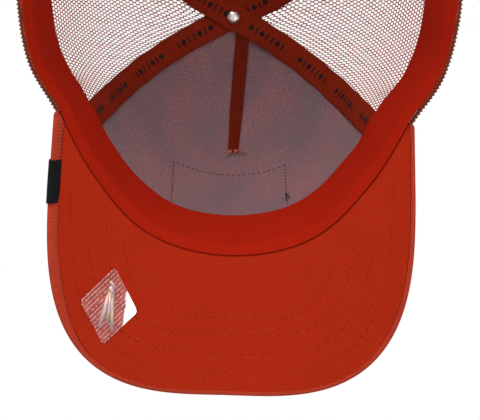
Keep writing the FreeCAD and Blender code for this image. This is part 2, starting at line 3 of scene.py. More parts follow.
import bpy
import numpy as np
from mathutils import Matrix, Vector


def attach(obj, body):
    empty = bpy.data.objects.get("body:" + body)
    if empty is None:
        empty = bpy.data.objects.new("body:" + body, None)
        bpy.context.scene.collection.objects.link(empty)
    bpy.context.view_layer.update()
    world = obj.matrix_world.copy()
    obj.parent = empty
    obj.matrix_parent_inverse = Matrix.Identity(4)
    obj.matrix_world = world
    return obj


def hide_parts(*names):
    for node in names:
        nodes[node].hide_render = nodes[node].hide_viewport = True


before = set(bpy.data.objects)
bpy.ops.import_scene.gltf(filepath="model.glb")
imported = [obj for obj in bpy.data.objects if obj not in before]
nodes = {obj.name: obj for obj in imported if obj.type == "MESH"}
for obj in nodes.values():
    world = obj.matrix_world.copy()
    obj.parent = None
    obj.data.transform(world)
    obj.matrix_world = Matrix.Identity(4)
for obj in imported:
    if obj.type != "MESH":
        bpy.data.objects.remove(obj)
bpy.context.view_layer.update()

# ---------------------------------------------------------------- the cap's own frame
# Shapes are worked out in the cap's own frame, in millimetres: the wearer faces -Y, the
# wearer's left is +X, and the rim of the crown lies near z = 0. place() tips the cap nose-up
# onto the surface it rests on and turns millimetres into metres.
REST_TILT = math.radians(-5.64)
REST_SHIFT = (0.0, 32.04, 7.855)

RIM_RADIUS = ((0, 104.4), (20, 101.8), (40, 92.2), (60, 86.1), (75, 88.3),
              (90, 89.2), (110, 92.2), (130, 95.0), (150, 97.0), (180, 99.0))
CROWN_HEIGHT = 118.6
APEX_Y = -7.7
WALL_LEAN = (11.7, 6.3, 6.0)
WALL_RISE = (69.9, 60.4, 50.0)
TOP_REACH = (57.3, 58.6, 62.0)
SIDE_RIM_Z = 1.7
FRONT_SEAM = (52.0, 60.0)
BACK_SEAM = (124.0, 111.0)
SEAM_GAP = 0.3
TOP_HOLE_RADIUS = 5.0

VISOR_BEND_RADIUS = 114.7
VISOR_SLOPE = math.radians(23.2)
VISOR_FRONT_Z = 13.1
VISOR_CORNER = 61.2
VISOR_HALF_WIDTH = 77.5
VISOR_WIDEST_Y = -73.0
VISOR_FRONT_Y = -160.9
VISOR_ROUNDNESS = 2.84
VISOR_CORNER_X = 77.1
VISOR_CORNER_Y = -43.4
VISOR_CORNER_ROUND = 1.8
VISOR_THICK = 4.1
VISOR_RIM_ANGLE = 59.9
STITCH_ROWS = (9.5, 16.5, 24.0, 31.0)
ROW_INSET = 0.3            # how much further in each row's groove and thread both lie
RIM_GAP = 0.4              # between the visor's top cover and the crown's rim, in plan
TAG_Y = (-80.0, -63.0)
TAG_TOP = 8.5
TAG_TRIM = 1.9             # how much less than the twill the tag is folded under the edge

FOAM_INNER = 0.55
FOAM_THICK = 2.0
FOAM_PRESSED = 0.45
FOAM_SIDE = 0.09           # share of the front's width over which it thickens from each side
FOAM_TOP = 0.14            # share of its height over which it thins at the top
FOAM_BOTTOM = 0.08         # it is half full at the visor, and full half this share above it
FRONT_CLOTH = 0.9
LAYER_GAP = 0.05
TAPE_OUTER = -0.35
TAPE_STEP = 0.75
TAPE_WIDTH = 12.0
TAPE_START = 6.6           # length above the rim at both ends of the two long tapes
TAPE_THICK = 0.55
PRINT_GROUP = 31.0         # from one group of printed marks to the next
MARK_PITCH = 3.2           # from one mark to the next in a group
BAND_HEIGHT = 33.0
BAND_END = 142.0
BAND_ROOT = -0.7           # its inner face at the rim
BAND_STAND_OFF = 1.9       # how much further in it stands higher up
BAND_TURN = 7.0            # length above the rim over which it moves in
BAND_CLOTH = 0.65
PATCH_HALF_WIDTH = 27.5
PATCH_LOW = 13.0
PATCH_HIGH = 71.0
BORDER_WIDTH = 2.6
DART_WIDTH = 6.2
DART_END = 85.5            # length above the rim at its frayed end
DART_TOP = 0.034           # meridian parameter left between its other end and the apex
DART_SHIFT = (1.8, 5.3)
BUTTON_RADIUS = 7.6
BUTTON_HEIGHT = 5.0
BUTTON_SEAT = 2.3
OPENING_HALF_WIDTH = 46.0
OPENING_HEIGHT = 50.0
BINDING_OUTSIDE = 5.5
BINDING_INSIDE = 1.2


def place(points):
    """Cap frame in millimetres to the row frame in metres."""
    points = np.asarray(points, float)
    cos, sin = math.cos(REST_TILT), math.sin(REST_TILT)
    x = points[..., 0] + REST_SHIFT[0]
    y = cos * points[..., 1] - sin * points[..., 2] + REST_SHIFT[1]
    z = sin * points[..., 1] + cos * points[..., 2] + REST_SHIFT[2]
    return np.stack([x, y, z], -1) / 1000.0


# ---------------------------------------------------------------- small helpers
def smoothstep(value):
    value = np.clip(value, 0.0, 1.0)
    return value * value * (3.0 - 2.0 * value)


def smooth_through(points, position):
    """Cubic through (position, value) pairs, level at both ends."""
    at, value = np.array(points, float).T
    slope = np.zeros(len(at))
    slope[1:-1] = (value[2:] - value[:-2]) / (at[2:] - at[:-2])
    i = np.clip(np.searchsorted(at, position, side="right") - 1, 0, len(at) - 2)
    span = at[i + 1] - at[i]
    t = np.clip((position - at[i]) / span, 0.0, 1.0)
    return (value[i] * (2 * t ** 3 - 3 * t ** 2 + 1) + value[i + 1] * (3 * t ** 2 - 2 * t ** 3)
            + slope[i] * span * (t ** 3 - 2 * t ** 2 + t) + slope[i + 1] * span * (t ** 3 - t ** 2))


def unit(vectors):
    return vectors / np.maximum(np.linalg.norm(vectors, axis=-1, keepdims=True), 1e-12)


def ripple(seed, x, y, size, stretch=1.0, waves=7):
    """Smooth uneven waves of about the given size, mostly between -1 and 1. stretch makes
    them longer in y than in x."""
    rng = np.random.default_rng(seed)
    total = 0.0
    for _ in range(waves):
        turn, phase = rng.uniform(0, math.tau, 2)
        wave = size * rng.uniform(0.6, 1.7)
        total = total + np.sin(math.tau * (x * math.cos(turn) + y * math.sin(turn) / stretch) / wave + phase)
    return total / math.sqrt(waves)


# ---------------------------------------------------------------- crown surface
def around(angle, values):
    """Blend front, side and back values by the angle from the front."""
    front, side, back = values
    lean = np.cos(np.radians(angle))
    return side + (np.where(lean > 0, front, back) - side) * lean * lean


def turn_of(angle):
    return np.abs((angle + 180.0) % 360.0 - 180.0)


def visor_z(x, y):
    sag = VISOR_BEND_RADIUS - np.sqrt(np.maximum(VISOR_BEND_RADIUS ** 2 - x * x, 0.0))
    return VISOR_FRONT_Z - sag + math.tan(VISOR_SLOPE) * (y + RIM_RADIUS[0][1])


def rim_point(angle):
    angle = np.asarray(angle, float)
    turn = turn_of(angle)
    radius = smooth_through(RIM_RADIUS, turn)
    x = radius * np.sin(np.radians(angle))
    y = -radius * np.cos(np.radians(angle))
    backwards = 0.5 - 0.5 * np.cos(math.pi * np.clip((turn - 90.0) / 90.0, 0, 1))
    share = smoothstep((turn - VISOR_CORNER) / 35.0)
    z = visor_z(x, y) * (1.0 - share) + SIDE_RIM_Z * (1.0 - backwards) * share
    return np.stack([x, y, z], -1)


def crown_point(angle, s):
    """Point on the crown's inner surface: s = 0 is the rim and s = 1 is the apex."""
    angle, s = np.broadcast_arrays(np.asarray(angle, float), np.asarray(s, float))
    rim = rim_point(angle)
    away = rim[..., 1] - APEX_Y
    reach = np.hypot(rim[..., 0], away)
    lean = np.radians(around(angle, WALL_LEAN))
    rise = around(angle, WALL_RISE)
    w0, w1, w2, w3 = (1 - s) ** 3, 3 * s * (1 - s) ** 2, 3 * s * s * (1 - s), s ** 3
    radius = w0 * reach + w1 * (reach - rise * np.sin(lean)) + w2 * around(angle, TOP_REACH)
    height = (w0 * rim[..., 2] + w1 * (rim[..., 2] + rise * np.cos(lean))
              + (w2 + w3) * CROWN_HEIGHT)
    return np.stack([radius * rim[..., 0] / reach, APEX_Y + radius * away / reach, height], -1)


def crown_normal(angle, s):
    angle, s = np.broadcast_arrays(np.asarray(angle, float), np.asarray(s, float))
    inner = np.minimum(s, 0.995)
    low = np.maximum(inner - 0.002, 0.0)
    sideways = crown_point(angle + 0.2, inner) - crown_point(angle - 0.2, inner)
    upward = crown_point(angle, low + 0.004) - crown_point(angle, low)
    normal = unit(np.cross(sideways, upward))
    return np.where((s > 0.995)[..., None], np.array([0.0, 0.0, 1.0]), normal)


def crown_at(angle, s, offset):
    return crown_point(angle, s) + crown_normal(angle, s) * np.asarray(offset, float)[..., None]


# Length up each meridian, kept as tables over the angle from the front.
TABLE_ANGLES = np.linspace(0.0, 180.0, 361)
TABLE_S = np.linspace(0.0, 1.0, 241)
TABLE_LENGTHS = np.arange(0.0, 200.0, 0.5)
_grid = crown_point(TABLE_ANGLES[:, None], TABLE_S[None, :])
_steps = np.linalg.norm(np.diff(_grid, axis=1), axis=-1)
LENGTH_TABLE = np.concatenate([np.zeros((len(TABLE_ANGLES), 1)), np.cumsum(_steps, 1)], 1)
STATION_TABLE = np.stack([np.interp(TABLE_LENGTHS, row, TABLE_S) for row in LENGTH_TABLE])
_radius = np.hypot(_grid[..., 0], _grid[..., 1] - APEX_Y)
TOP_TABLE = np.array([np.interp(-TOP_HOLE_RADIUS, -row[120:], TABLE_S[120:]) for row in _radius])


def look_up(table, row, column):
    """Value of a table between its entries."""
    row = np.clip(row, 0, table.shape[0] - 1.001)
    column = np.clip(column, 0, table.shape[1] - 1.001)
    i, j = row.astype(int), column.astype(int)
    f, g = row - i, column - j
    return ((1 - f) * ((1 - g) * table[i, j] + g * table[i, j + 1])
            + f * ((1 - g) * table[i + 1, j] + g * table[i + 1, j + 1]))


def station(angle, length):
    """Meridian parameter at a length measured up the crown from the rim."""
    angle, length = np.broadcast_arrays(np.asarray(angle, float), np.asarray(length, float))
    return look_up(STATION_TABLE, turn_of(angle) * 2.0, length * 2.0)


def length_at(angle, s):
    """Length up the crown from the rim to a meridian parameter."""
    angle, s = np.broadcast_arrays(np.asarray(angle, float), np.asarray(s, float))
    return look_up(LENGTH_TABLE, turn_of(angle) * 2.0, s * (len(TABLE_S) - 1))


def top_station(angle):
    return np.interp(turn_of(angle), TABLE_ANGLES, TOP_TABLE)


def azimuth_of(angle):
    """Direction of a meridian seen from the button, in degrees from the front."""
    rim = rim_point(angle)
    return np.degrees(np.arctan2(rim[..., 0], APEX_Y - rim[..., 1]))


AZIMUTH_TABLE = azimuth_of(TABLE_ANGLES[:-1]).tolist() + [180.0]


def angle_of(azimuth):
    return np.sign(azimuth) * np.interp(np.abs(azimuth), AZIMUTH_TABLE, TABLE_ANGLES)


def axis_distance(angle, s):
    point = crown_point(angle, s)
    return np.hypot(point[..., 0], point[..., 1] - APEX_Y)


def front_seam(s):
    return FRONT_SEAM[0] + (FRONT_SEAM[1] - FRONT_SEAM[0]) * s * s


def back_seam(s):
    return BACK_SEAM[0] + (BACK_SEAM[1] - BACK_SEAM[0]) * s * s


def back_middle(s):
    return 180.0


def half_gap(angle, s):
    return np.degrees(0.5 * SEAM_GAP / np.maximum(axis_distance(angle, s), 1.0))


def beside(seam, side, way):
    """Edge of a panel along a seam, before it (way -1) or past it (way 1)."""
    def edge(s):
        return side * (seam(s) + way * half_gap(seam(s), s))
    return edge


def steady(value):
    def edge(at):
        return np.full(np.shape(at), value)
    return edge


def visor_clearance(angle):
    """Height of the panels' lower edge above the rim: clear of the visor's thickness."""
    turn = turn_of(angle)
    over_visor = 5.2 + 1.2 * np.clip(turn / VISOR_CORNER, 0, 1) ** 2
    return over_visor + (0.3 - over_visor) * smoothstep((turn - VISOR_CORNER - 0.3) / 4.0)


def front_grid(columns, rows):
    """Angles and meridian parameters over the front, and the shares across and up it."""
    left, right = beside(front_seam, -1, -1), beside(front_seam, 1, -1)
    u = np.linspace(0.0, 1.0, columns + 1)[:, None]
    v = np.linspace(0.0, 1.0, rows + 1)[None, :]
    s = np.full((columns + 1, rows + 1), 0.3)
    for _ in range(5):
        angle = left(s) + (right(s) - left(s)) * u
        low = station(angle, visor_clearance(angle))
        s = low + (top_station(angle) - low) * v
    return angle, s, u, v


def crown_row(angle, s, offset):
    """A line of points over the crown, and the outward direction at each."""
    return crown_at(angle, s, np.full(np.shape(s), offset)), crown_normal(angle, s)


# ---------------------------------------------------------------- meshes
def make_piece(name, points, faces, uv, material, slot):
    """A mesh that rides on the cap. faces is a list of index arrays, one row per face, and uv
    has one pair of millimetre coordinates per point."""
    points = place(np.asarray(points, float).reshape(-1, 3))
    corners = np.concatenate([f.ravel() for f in faces]).astype(np.int32)
    sizes = np.concatenate([np.full(len(f), f.shape[1]) for f in faces]).astype(np.int32)
    starts = (np.cumsum(sizes) - sizes).astype(np.int32)
    volume = 0.0
    for f in faces:
        for k in range(1, f.shape[1] - 1):
            a, b, c = points[f[:, 0]], points[f[:, k]], points[f[:, k + 1]]
            volume += np.einsum("ij,ij->", a, np.cross(b, c))
    if volume < 0:
        faces = [f[:, ::-1] for f in faces]
        corners = np.concatenate([f.ravel() for f in faces]).astype(np.int32)
    mesh = bpy.data.meshes.new(name)
    mesh.vertices.add(len(points))
    mesh.vertices.foreach_set("co", points.astype(np.float32).ravel())
    mesh.loops.add(len(corners))
    mesh.loops.foreach_set("vertex_index", corners)
    mesh.polygons.add(len(sizes))
    mesh.polygons.foreach_set("loop_start", starts)
    mesh.polygons.foreach_set("use_smooth", np.ones(len(sizes), bool))
    layer = mesh.uv_layers.new(name="cloth")
    layer.data.foreach_set("uv", np.asarray(uv, np.float32).reshape(-1, 2)[corners].ravel())
    mesh.update(calc_edges=True)
    mesh.materials.append(material)
    piece = bpy.data.objects.new(name, mesh)
    bpy.context.scene.collection.objects.link(piece)
    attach(piece, "cap")
    return piece


def side_faces(first, second):
    """Four-sided faces between rings of point numbers and the rings that follow them."""
    return np.stack([first, np.roll(first, -1, -1), np.roll(second, -1, -1), second], -1).reshape(-1, 4)


def end_faces(start, end):
    """Faces across the first and the last ring of a skin."""
    near = np.arange(len(start) // 2 - 1)
    far = len(start) - 1 - near
    return [np.stack([start[near], start[far], start[far - 1], start[near + 1]], -1),
            np.stack([end[near], end[near + 1], end[far - 1], end[far]], -1)]


def loft(name, rings, uv, material, closed=False, **extra):
    """Closed skin through rings of points. Each ring runs out along one face and back along
    the other, so that its point i lies over its point -1-i, and the end rings are closed
    across unless the rings run round to the first one again."""
    count, size = rings.shape[:2]
    index = np.arange(count * size).reshape(count, size)
    following = np.roll(index, -1, 0)
    first, second = (index, following) if closed else (index[:-1], index[1:])
    quads = [side_faces(first, second)]
    if not closed:
        quads += end_faces(index[0], index[-1])
    return make_piece(name, rings.reshape(-1, 3), quads, uv.reshape(-1, 2), material, **extra)


def both_faces(high, low, bulge=0.0):
    """Rings from the two faces of a sheet, with its side edges rounded by bulge."""
    def edge(k, inner):
        out = unit(high[:, k] - high[:, inner]) * bulge
        return high[:, k] * 0.72 + low[:, k] * 0.28 + out, high[:, k] * 0.28 + low[:, k] * 0.72 + out

    first_high, first_low = edge(0, 1)
    last_high, last_low = edge(-1, -2)
    return np.concatenate([first_high[:, None], high, last_high[:, None],
                           last_low[:, None], low[:, ::-1], first_low[:, None]], 1)


def both_uv(uv):
    """Cloth coordinates for the rings of both_faces."""
    wide = np.concatenate([uv[:, :1], uv, uv[:, -1:]], 1)
    return np.concatenate([wide, wide[:, ::-1]], 1)


def run_length(path):
    steps = np.linalg.norm(np.diff(path, axis=0), axis=-1)
    return np.concatenate([[0.0], np.cumsum(steps)])


def along(path, run, at):
    return np.stack([np.interp(at, run, path[:, k]) for k in range(path.shape[1])], -1)


def stitch_row(path, normals, length=2.4, gap=0.9, radius=0.22, lift=0.22, seed=1):
    """Points, faces and cloth coordinates of a row of thread stitches along a path. Each
    stitch comes up out of the cloth, arches and goes down again."""
    rng = np.random.default_rng(seed)
    run = run_length(path)
    starts = np.arange(0.4, run[-1] - length, length + gap)
    rings, sides = 6, 6
    t = np.linspace(0.0, 1.0, rings)
    at = starts[:, None] + t[None, :] * length
    centre = along(path, run, at.ravel()).reshape(len(starts), rings, 3)
    normal = unit(along(normals, run, at.ravel()).reshape(len(starts), rings, 3))
    ahead = unit(np.gradient(centre, axis=1))
    side = unit(np.cross(normal, ahead))
    skew = rng.normal(0.0, 0.09, (len(starts), 1, 1)) * (t[None, :, None] - 0.5) * 2.0
    arch = lift * (4.0 * t * (1.0 - t)) ** 0.6 - 0.55 * radius
    centre = centre + normal * arch[None, :, None] + side * skew
    thick = radius * np.where((t == 0) | (t == 1), 0.45, 1.0)
    turn = np.arange(sides) * math.tau / sides
    spread = (side[:, :, None] * np.cos(turn)[None, None, :, None]
              + normal[:, :, None] * 0.8 * np.sin(turn)[None, None, :, None])
    points = centre[:, :, None] + spread * thick[None, :, None, None]
    index = np.arange(len(starts) * rings * sides).reshape(len(starts), rings, sides)
    quads = side_faces(index[:, :-1], index[:, 1:])
    caps = np.concatenate([index[:, 0, ::-1], index[:, -1]])
    uv = np.stack(np.broadcast_arrays(at[:, :, None], turn[None, None, :] * radius), -1)
    return points.reshape(-1, 3), [quads, caps], uv.reshape(-1, 2)


def join_rows(rows):
    """Several (points, faces, uv) sets as one."""
    points, quads, others, uvs, base = [], [], [], [], 0
    for p, f, uv in rows:
        points.append(p)
        quads.append(f[0] + base)
        others.append(f[1] + base)
        uvs.append(uv)
        base += len(p)
    return np.concatenate(points), [np.concatenate(quads), np.concatenate(others)], np.concatenate(uvs)


def stitches(name, paths, material, slot="thread", **shape):
    """One piece for rows of thread. paths holds (path, normals) pairs."""
    rows = [stitch_row(path, normals, seed=31 + i, **shape) for i, (path, normals) in enumerate(paths)]
    points, faces, uv = join_rows(rows)
    return make_piece(name, points, faces, uv, material, slot=slot)


# ---------------------------------------------------------------- materials
def tone(red, green, blue):
    """A colour given by its display values from 0 to 255, as linear light."""
    def linear(value):
        value /= 255.0
        return value / 12.92 if value <= 0.04045 else ((value + 0.055) / 1.055) ** 2.4
    return linear(red), linear(green), linear(blue), 1.0


class Paint:
    """A material while its nodes are put together. Lengths are in millimetres."""

    def __init__(self, name, **sockets):
        self.material = bpy.data.materials.new(name)
        self.material.use_nodes = True
        self.tree = self.material.node_tree
        self.tree.nodes.clear()
        self.shader = self.tree.nodes.new("ShaderNodeBsdfPrincipled")
        output = self.tree.nodes.new("ShaderNodeOutputMaterial")
        self.tree.links.new(self.shader.outputs["BSDF"], output.inputs["Surface"])
        for socket, value in sockets.items():
            self.shader.inputs[socket.replace("_", " ")].default_value = value

    def node(self, kind, inputs=(), output=0, **settings):
        made = self.tree.nodes.new("ShaderNode" + kind)
        for key, value in settings.items():
            setattr(made, key, value)
        for socket, value in dict(inputs).items():
            if isinstance(value, bpy.types.NodeSocket):
                self.tree.links.new(value, made.inputs[socket])
            else:
                made.inputs[socket].default_value = value
        return made.outputs[output]

    def set(self, socket, value):
        self.tree.links.new(value, self.shader.inputs[socket])

    def cloth(self):
        return self.node("UVMap", uv_map="cloth")

    def solid(self):
        where = self.node("TexCoord", output=3)
        return self.node("Mapping", {"Vector": where, "Scale": (1000.0,) * 3})

    def wave(self, where, pitch, turn, distort=0.0):
        turned = self.node("Mapping", {"Vector": where, "Rotation": (0.0, 0.0, -math.radians(turn))})
        return self.node("TexWave", {"Vector": turned, "Scale": math.pi / (10.0 * pitch),
                                     "Distortion": distort, "Detail": 1.0,
                                     "Detail Scale": 3.0}, output=1)

    def noise(self, where, size, detail=2.0, rough=0.5):
        return self.node("TexNoise", {"Vector": where, "Scale": 1.0 / size, "Detail": detail,
                                      "Roughness": rough})

    def math(self, operation, first, second=0.5, third=0.5):
        return self.node("Math", {0: first, 1: second, 2: third}, operation=operation)

    def spread(self, value, low, high, to_low=0.0, to_high=1.0):
        return self.node("MapRange", {0: value, 1: low, 2: high, 3: to_low, 4: to_high})

    def mix(self, factor, first, second, blend="MIX"):
        return self.node("Mix", {0: factor, 6: first, 7: second}, output=2, data_type="RGBA",
                         blend_type=blend)

    def bump(self, height, deep, strength=1.0):
        normal = self.node("Bump", {"Height": height, "Distance": deep / 1000.0, "Strength": strength})
        self.set("Normal", normal)


def woven(name, light, dark, pitch=0.9, turn=45.0, cross=0.6, deep=0.22, contrast=1.0, fuzz=0.35,
          shade=0.16, solid=False, rough=0.9, sheen=0.08, slub=0.1, gloss=0.12):
    """Cloth whose ribs lie a pitch apart, at a turn from the cloth's own x direction, with the
    cross yarns showing through by the share cross."""
    paint = Paint(name, Roughness=rough, Sheen_Weight=sheen, Sheen_Roughness=0.45,
                  Specular_IOR_Level=gloss, Sheen_Tint=tone(255, 150, 110))
    where = paint.solid() if solid else paint.cloth()
    ribs = paint.wave(where, pitch, turn, 0.7)
    yarns = paint.wave(where, pitch * 0.62, turn + 68.0, 0.9)
    fine = paint.noise(where, 0.42, 3.0, 0.7)
    slubs = paint.noise(where, 0.75, 2.0, 0.8)
    broad = paint.noise(where, 26.0, 3.0, 0.6)
    streak = paint.noise(paint.node("Mapping", {"Vector": where, "Scale": (1.0, 0.2, 1.0)}), 1.6, 2.0)
    height = paint.math("MULTIPLY_ADD", yarns, cross, ribs)
    height = paint.math("MULTIPLY_ADD", fine, fuzz, height)
    lit = paint.spread(height, 0.25, 1.25, 1.0 - 0.62 * contrast, 1.0)
    base = paint.mix(lit, dark, light)
    uneven = paint.math("ADD", paint.math("MULTIPLY", broad, 0.8), paint.math("MULTIPLY", streak, 0.2))
    tint = paint.spread(uneven, 0.35, 0.65, 1.0 - shade, 1.0 + shade * 0.5)
    tint = paint.math("MULTIPLY", tint, paint.spread(slubs, 0.38, 0.62, 1.0 - slub, 1.0 + slub))
    paint.set("Base Color", paint.mix(1.0, base, tint, "MULTIPLY"))
    paint.bump(height, deep)
    return paint.material


def knit(name, first, second, dark):
    """Fine brushed knit in two mottled shades."""
    paint = Paint(name, Roughness=0.95, Sheen_Weight=0.05, Sheen_Roughness=0.6, Specular_IOR_Level=0.1)
    where = paint.cloth()
    loops = paint.wave(where, 0.95, 28.0, 2.2)
    lean = paint.wave(where, 0.95, -28.0, 2.2)
    rows = paint.wave(where, 1.25, 90.0, 0.8)
    fine = paint.noise(where, 0.8, 3.0, 0.75)
    speck = paint.noise(where, 1.1, 2.0, 0.8)
    broad = paint.noise(where, 34.0, 3.0, 0.55)
    height = paint.math("ADD", paint.math("MULTIPLY", loops, lean), paint.math("MULTIPLY", rows, 0.1))
    height = paint.math("MULTIPLY_ADD", fine, 2.0, paint.math("MULTIPLY", height, 0.35))
    shade = paint.mix(paint.spread(broad, 0.36, 0.64), first, second)
    mottled = paint.mix(paint.spread(speck, 0.4, 0.62, 0.0, 0.85), shade, second)
    paint.set("Base Color", paint.mix(paint.spread(height, 0.8, 1.4, 0.66, 0.0), mottled, dark))
    paint.bump(height, 0.2)
    return paint.material


def twisted(name, light, dark, pitch=0.55, deep=0.12, rough=0.8, sheen=0.05, turn=58.0):
    """Thread or yarn with its plies twisted round each other."""
    paint = Paint(name, Roughness=rough, Sheen_Weight=sheen, Sheen_Roughness=0.4, Specular_IOR_Level=0.1)
    where = paint.cloth()
    plies = paint.wave(where, pitch, turn, 0.4)
    fine = paint.noise(where, 0.2, 2.0, 0.7)
    broad = paint.noise(where, 9.0, 2.0)
    height = paint.math("MULTIPLY_ADD", fine, 0.4, plies)
    base = paint.mix(paint.spread(height, 0.2, 1.1, 0.15, 1.0), dark, light)
    paint.set("Base Color", paint.mix(paint.spread(broad, 0.4, 0.65, 0.0, 0.3), base, dark))
    paint.bump(height, deep)
    return paint.material


def metal(name, colour, rough):
    paint = Paint(name, Metallic=1.0, Base_Color=colour)
    where = paint.solid()
    scuffs = paint.noise(paint.node("Mapping", {"Vector": where, "Scale": (1.0, 4.0, 1.0)}), 0.6, 4.0, 0.7)
    broad = paint.noise(where, 3.0, 2.0)
    paint.set("Roughness", paint.spread(paint.math("ADD", scuffs, broad), 0.7, 1.3, rough, rough + 0.2))
    dull = tuple(0.72 * c for c in colour[:3]) + (1.0,)
    paint.set("Base Color", paint.mix(paint.spread(broad, 0.4, 0.7, 0.0, 0.6), colour, dull))
    paint.bump(scuffs, 0.02, 0.5)
    return paint.material


def moulded(name, light, dark, rough=0.42, cells=False):
    """Moulded plastic with a fine spark-eroded grain, or foam when cells is set."""
    paint = Paint(name, Specular_IOR_Level=0.15 if cells else 0.45)
    where = paint.solid()
    grain = paint.noise(where, 0.25, 3.0, 0.7)
    broad = paint.noise(where, 11.0, 3.0, 0.6)
    if cells:
        pores = paint.node("TexVoronoi", {"Vector": where, "Scale": 1.6}, feature="F1")
        grain = paint.math("MULTIPLY_ADD", pores, 1.2, grain)
    paint.set("Base Color", paint.mix(paint.spread(paint.math("ADD", grain, broad), 0.7, 1.4), light, dark))
    paint.set("Roughness", paint.spread(broad, 0.35, 0.65, rough, min(rough + 0.16, 1.0)))
    paint.bump(grain, 0.25 if cells else 0.03)
    return paint.material


def foil(name):
    """Clear security label: rows of silver dashes and shifting tints, with a near-white painted reflection
    glint over one corner.
    """
    paint = Paint(name, Specular_IOR_Level=0.2)
    where = paint.cloth()
    lines = paint.wave(where, 1.6, 0.0)
    dashes = paint.noise(paint.node("Mapping", {"Vector": where, "Scale": (0.25, 1.0, 1.0)}), 0.6, 1.0)
    marks = paint.math("MULTIPLY", paint.spread(lines, 0.45, 0.75), paint.spread(dashes, 0.42, 0.55))
    tints = paint.noise(where, 7.0, 1.0)
    shifting = paint.mix(paint.spread(tints, 0.35, 0.65), tone(186, 104, 90), tone(160, 112, 122))
    ground = paint.mix(paint.spread(tints, 0.38, 0.62, 0.7, 0.92), shifting, tone(118, 34, 21))
    base = paint.mix(paint.math("MULTIPLY", marks, 0.75), ground, tone(196, 142, 136))
    # Painted reflection: a near-white glint painted into the label's colour over the corner where both of
    # its coordinates are lowest, with a wobbly edge.
    glint_diagonal = paint.math("ADD", paint.node("SeparateXYZ", {"Vector": where}),
                         paint.node("SeparateXYZ", {"Vector": where}, output=1))
    glint_edge_wobble = paint.math("MULTIPLY_ADD", paint.noise(where, 4.0, 3.0), 5.0, glint_diagonal)
    painted_glint = paint.spread(glint_edge_wobble, -10.2, -8.6, 1.0, 0.0)
    paint.set("Base Color", paint.mix(painted_glint, base, tone(246, 244, 246)))
    paint.set("Metallic", paint.math("MULTIPLY", marks, 0.3))
    paint.set("Roughness", paint.spread(marks, 0.0, 1.0, 0.42, 0.5))
    paint.bump(marks, 0.03, 0.6)
    return paint.material


def iridescent(name):
    """Brushed foil whose tint drifts from silver to yellow and pink."""
    paint = Paint(name, Metallic=0.5, Roughness=0.4)
    where = paint.cloth()
    drift = paint.noise(where, 3.0, 2.0)
    brushed = paint.wave(where, 0.5, 20.0, 1.0)
    tint = paint.mix(paint.spread(drift, 0.45, 0.62), tone(176, 160, 168), tone(190, 170, 104))
    tint = paint.mix(paint.spread(paint.noise(where, 2.2), 0.5, 0.6), tint, tone(196, 150, 158))
    paint.set("Base Color", paint.mix(paint.spread(brushed, 0.0, 1.0, 0.25, 0.0), tint, tone(120, 92, 92)))
    paint.bump(brushed, 0.02)
    return paint.material


ORANGE = tone(160, 42, 22)
ORANGE_DARK = tone(112, 22, 10)
UNDER = tone(145, 33, 12)
UNDER_DARK = tone(114, 22, 7)
BAND = tone(146, 25, 7)
BAND_DARK = tone(112, 16, 4)
TAPE = tone(120, 33, 14)
TAPE_DARK = tone(76, 19, 8)
BLACK = tone(13, 13, 17)
BLACK_DARK = tone(5, 5, 7)

front_cloth = woven("front_twill_cloth", ORANGE, ORANGE_DARK, pitch=0.95)
visor_twill = woven("visor_twill_cloth", tone(172, 54, 32), tone(104, 22, 11), pitch=0.95, deep=0.3)
under_cloth = woven("visor_under_weave", UNDER, UNDER_DARK, pitch=0.42, turn=0.0, cross=0.9, deep=0.06,
                    contrast=0.8, fuzz=0.8, shade=0.04, sheen=0.0, slub=0.13, gloss=0.03)
band_cloth = woven("sweatband_weave", BAND, BAND_DARK, pitch=0.4, turn=30.0, cross=0.8, deep=0.06,
                   contrast=0.8, fuzz=0.8, shade=0.05, sheen=0.0, slub=0.12, gloss=0.03)
tape_cloth = woven("seam_tape_weave", TAPE, TAPE_DARK, pitch=0.5, turn=62.0, cross=0.7, deep=0.1,
                   contrast=0.8, shade=0.12, sheen=0.0, gloss=0.03)
dart_cloth = woven("dart_tape_weave", tone(100, 26, 11), tone(62, 15, 6), pitch=0.5, turn=62.0, cross=0.7,
                   deep=0.1, contrast=0.8, shade=0.12, sheen=0.0, gloss=0.03)
lining_cloth = knit("lining_knit", tone(150, 96, 100), tone(111, 92, 96), tone(62, 43, 47))
# The doubled net at the rim is the same yarn as the net, painted darker and browner as painted shade for
# where it is seen edge-on and folded over itself.
hem_yarn_painted_shade = twisted("hem_yarn_painted_shade", tone(132, 56, 36), tone(54, 18, 12), pitch=0.5, deep=0.08)
net_yarn = twisted("net_yarn", tone(192, 78, 40), tone(98, 32, 16), pitch=0.5, deep=0.08)
red_thread = twisted("orange_thread", tone(172, 52, 28), tone(100, 22, 11), pitch=0.34)
tape_thread = twisted("tape_thread", tone(84, 25, 13), tone(54, 15, 8), pitch=0.3)
under_thread = twisted("under_thread", tone(112, 25, 9), tone(70, 15, 5), pitch=0.34, sheen=0.0)
grey_thread = twisted("grey_thread", tone(30, 27, 33), tone(14, 12, 15), pitch=0.3)
pale_yarn = twisted("pale_yarn", tone(176, 158, 140), tone(110, 94, 80), pitch=0.4)
frayed_yarn = twisted("frayed_yarn", tone(186, 66, 32), tone(110, 30, 14), pitch=0.4)
binding_cloth = woven("binding_weave", tone(150, 40, 22), tone(92, 20, 10), pitch=0.6, turn=90.0,
                      cross=0.5, deep=0.12)
black_ribbon = woven("black_ribbon", BLACK, BLACK_DARK, pitch=0.45, turn=90.0, cross=0.5, deep=0.08,
                     fuzz=0.2, sheen=0.0, rough=0.8, gloss=0.1)
black_print = woven("tape_print_ink", tone(30, 22, 22), tone(14, 10, 10), pitch=0.5, turn=62.0, deep=0.05,
                    sheen=0.0)
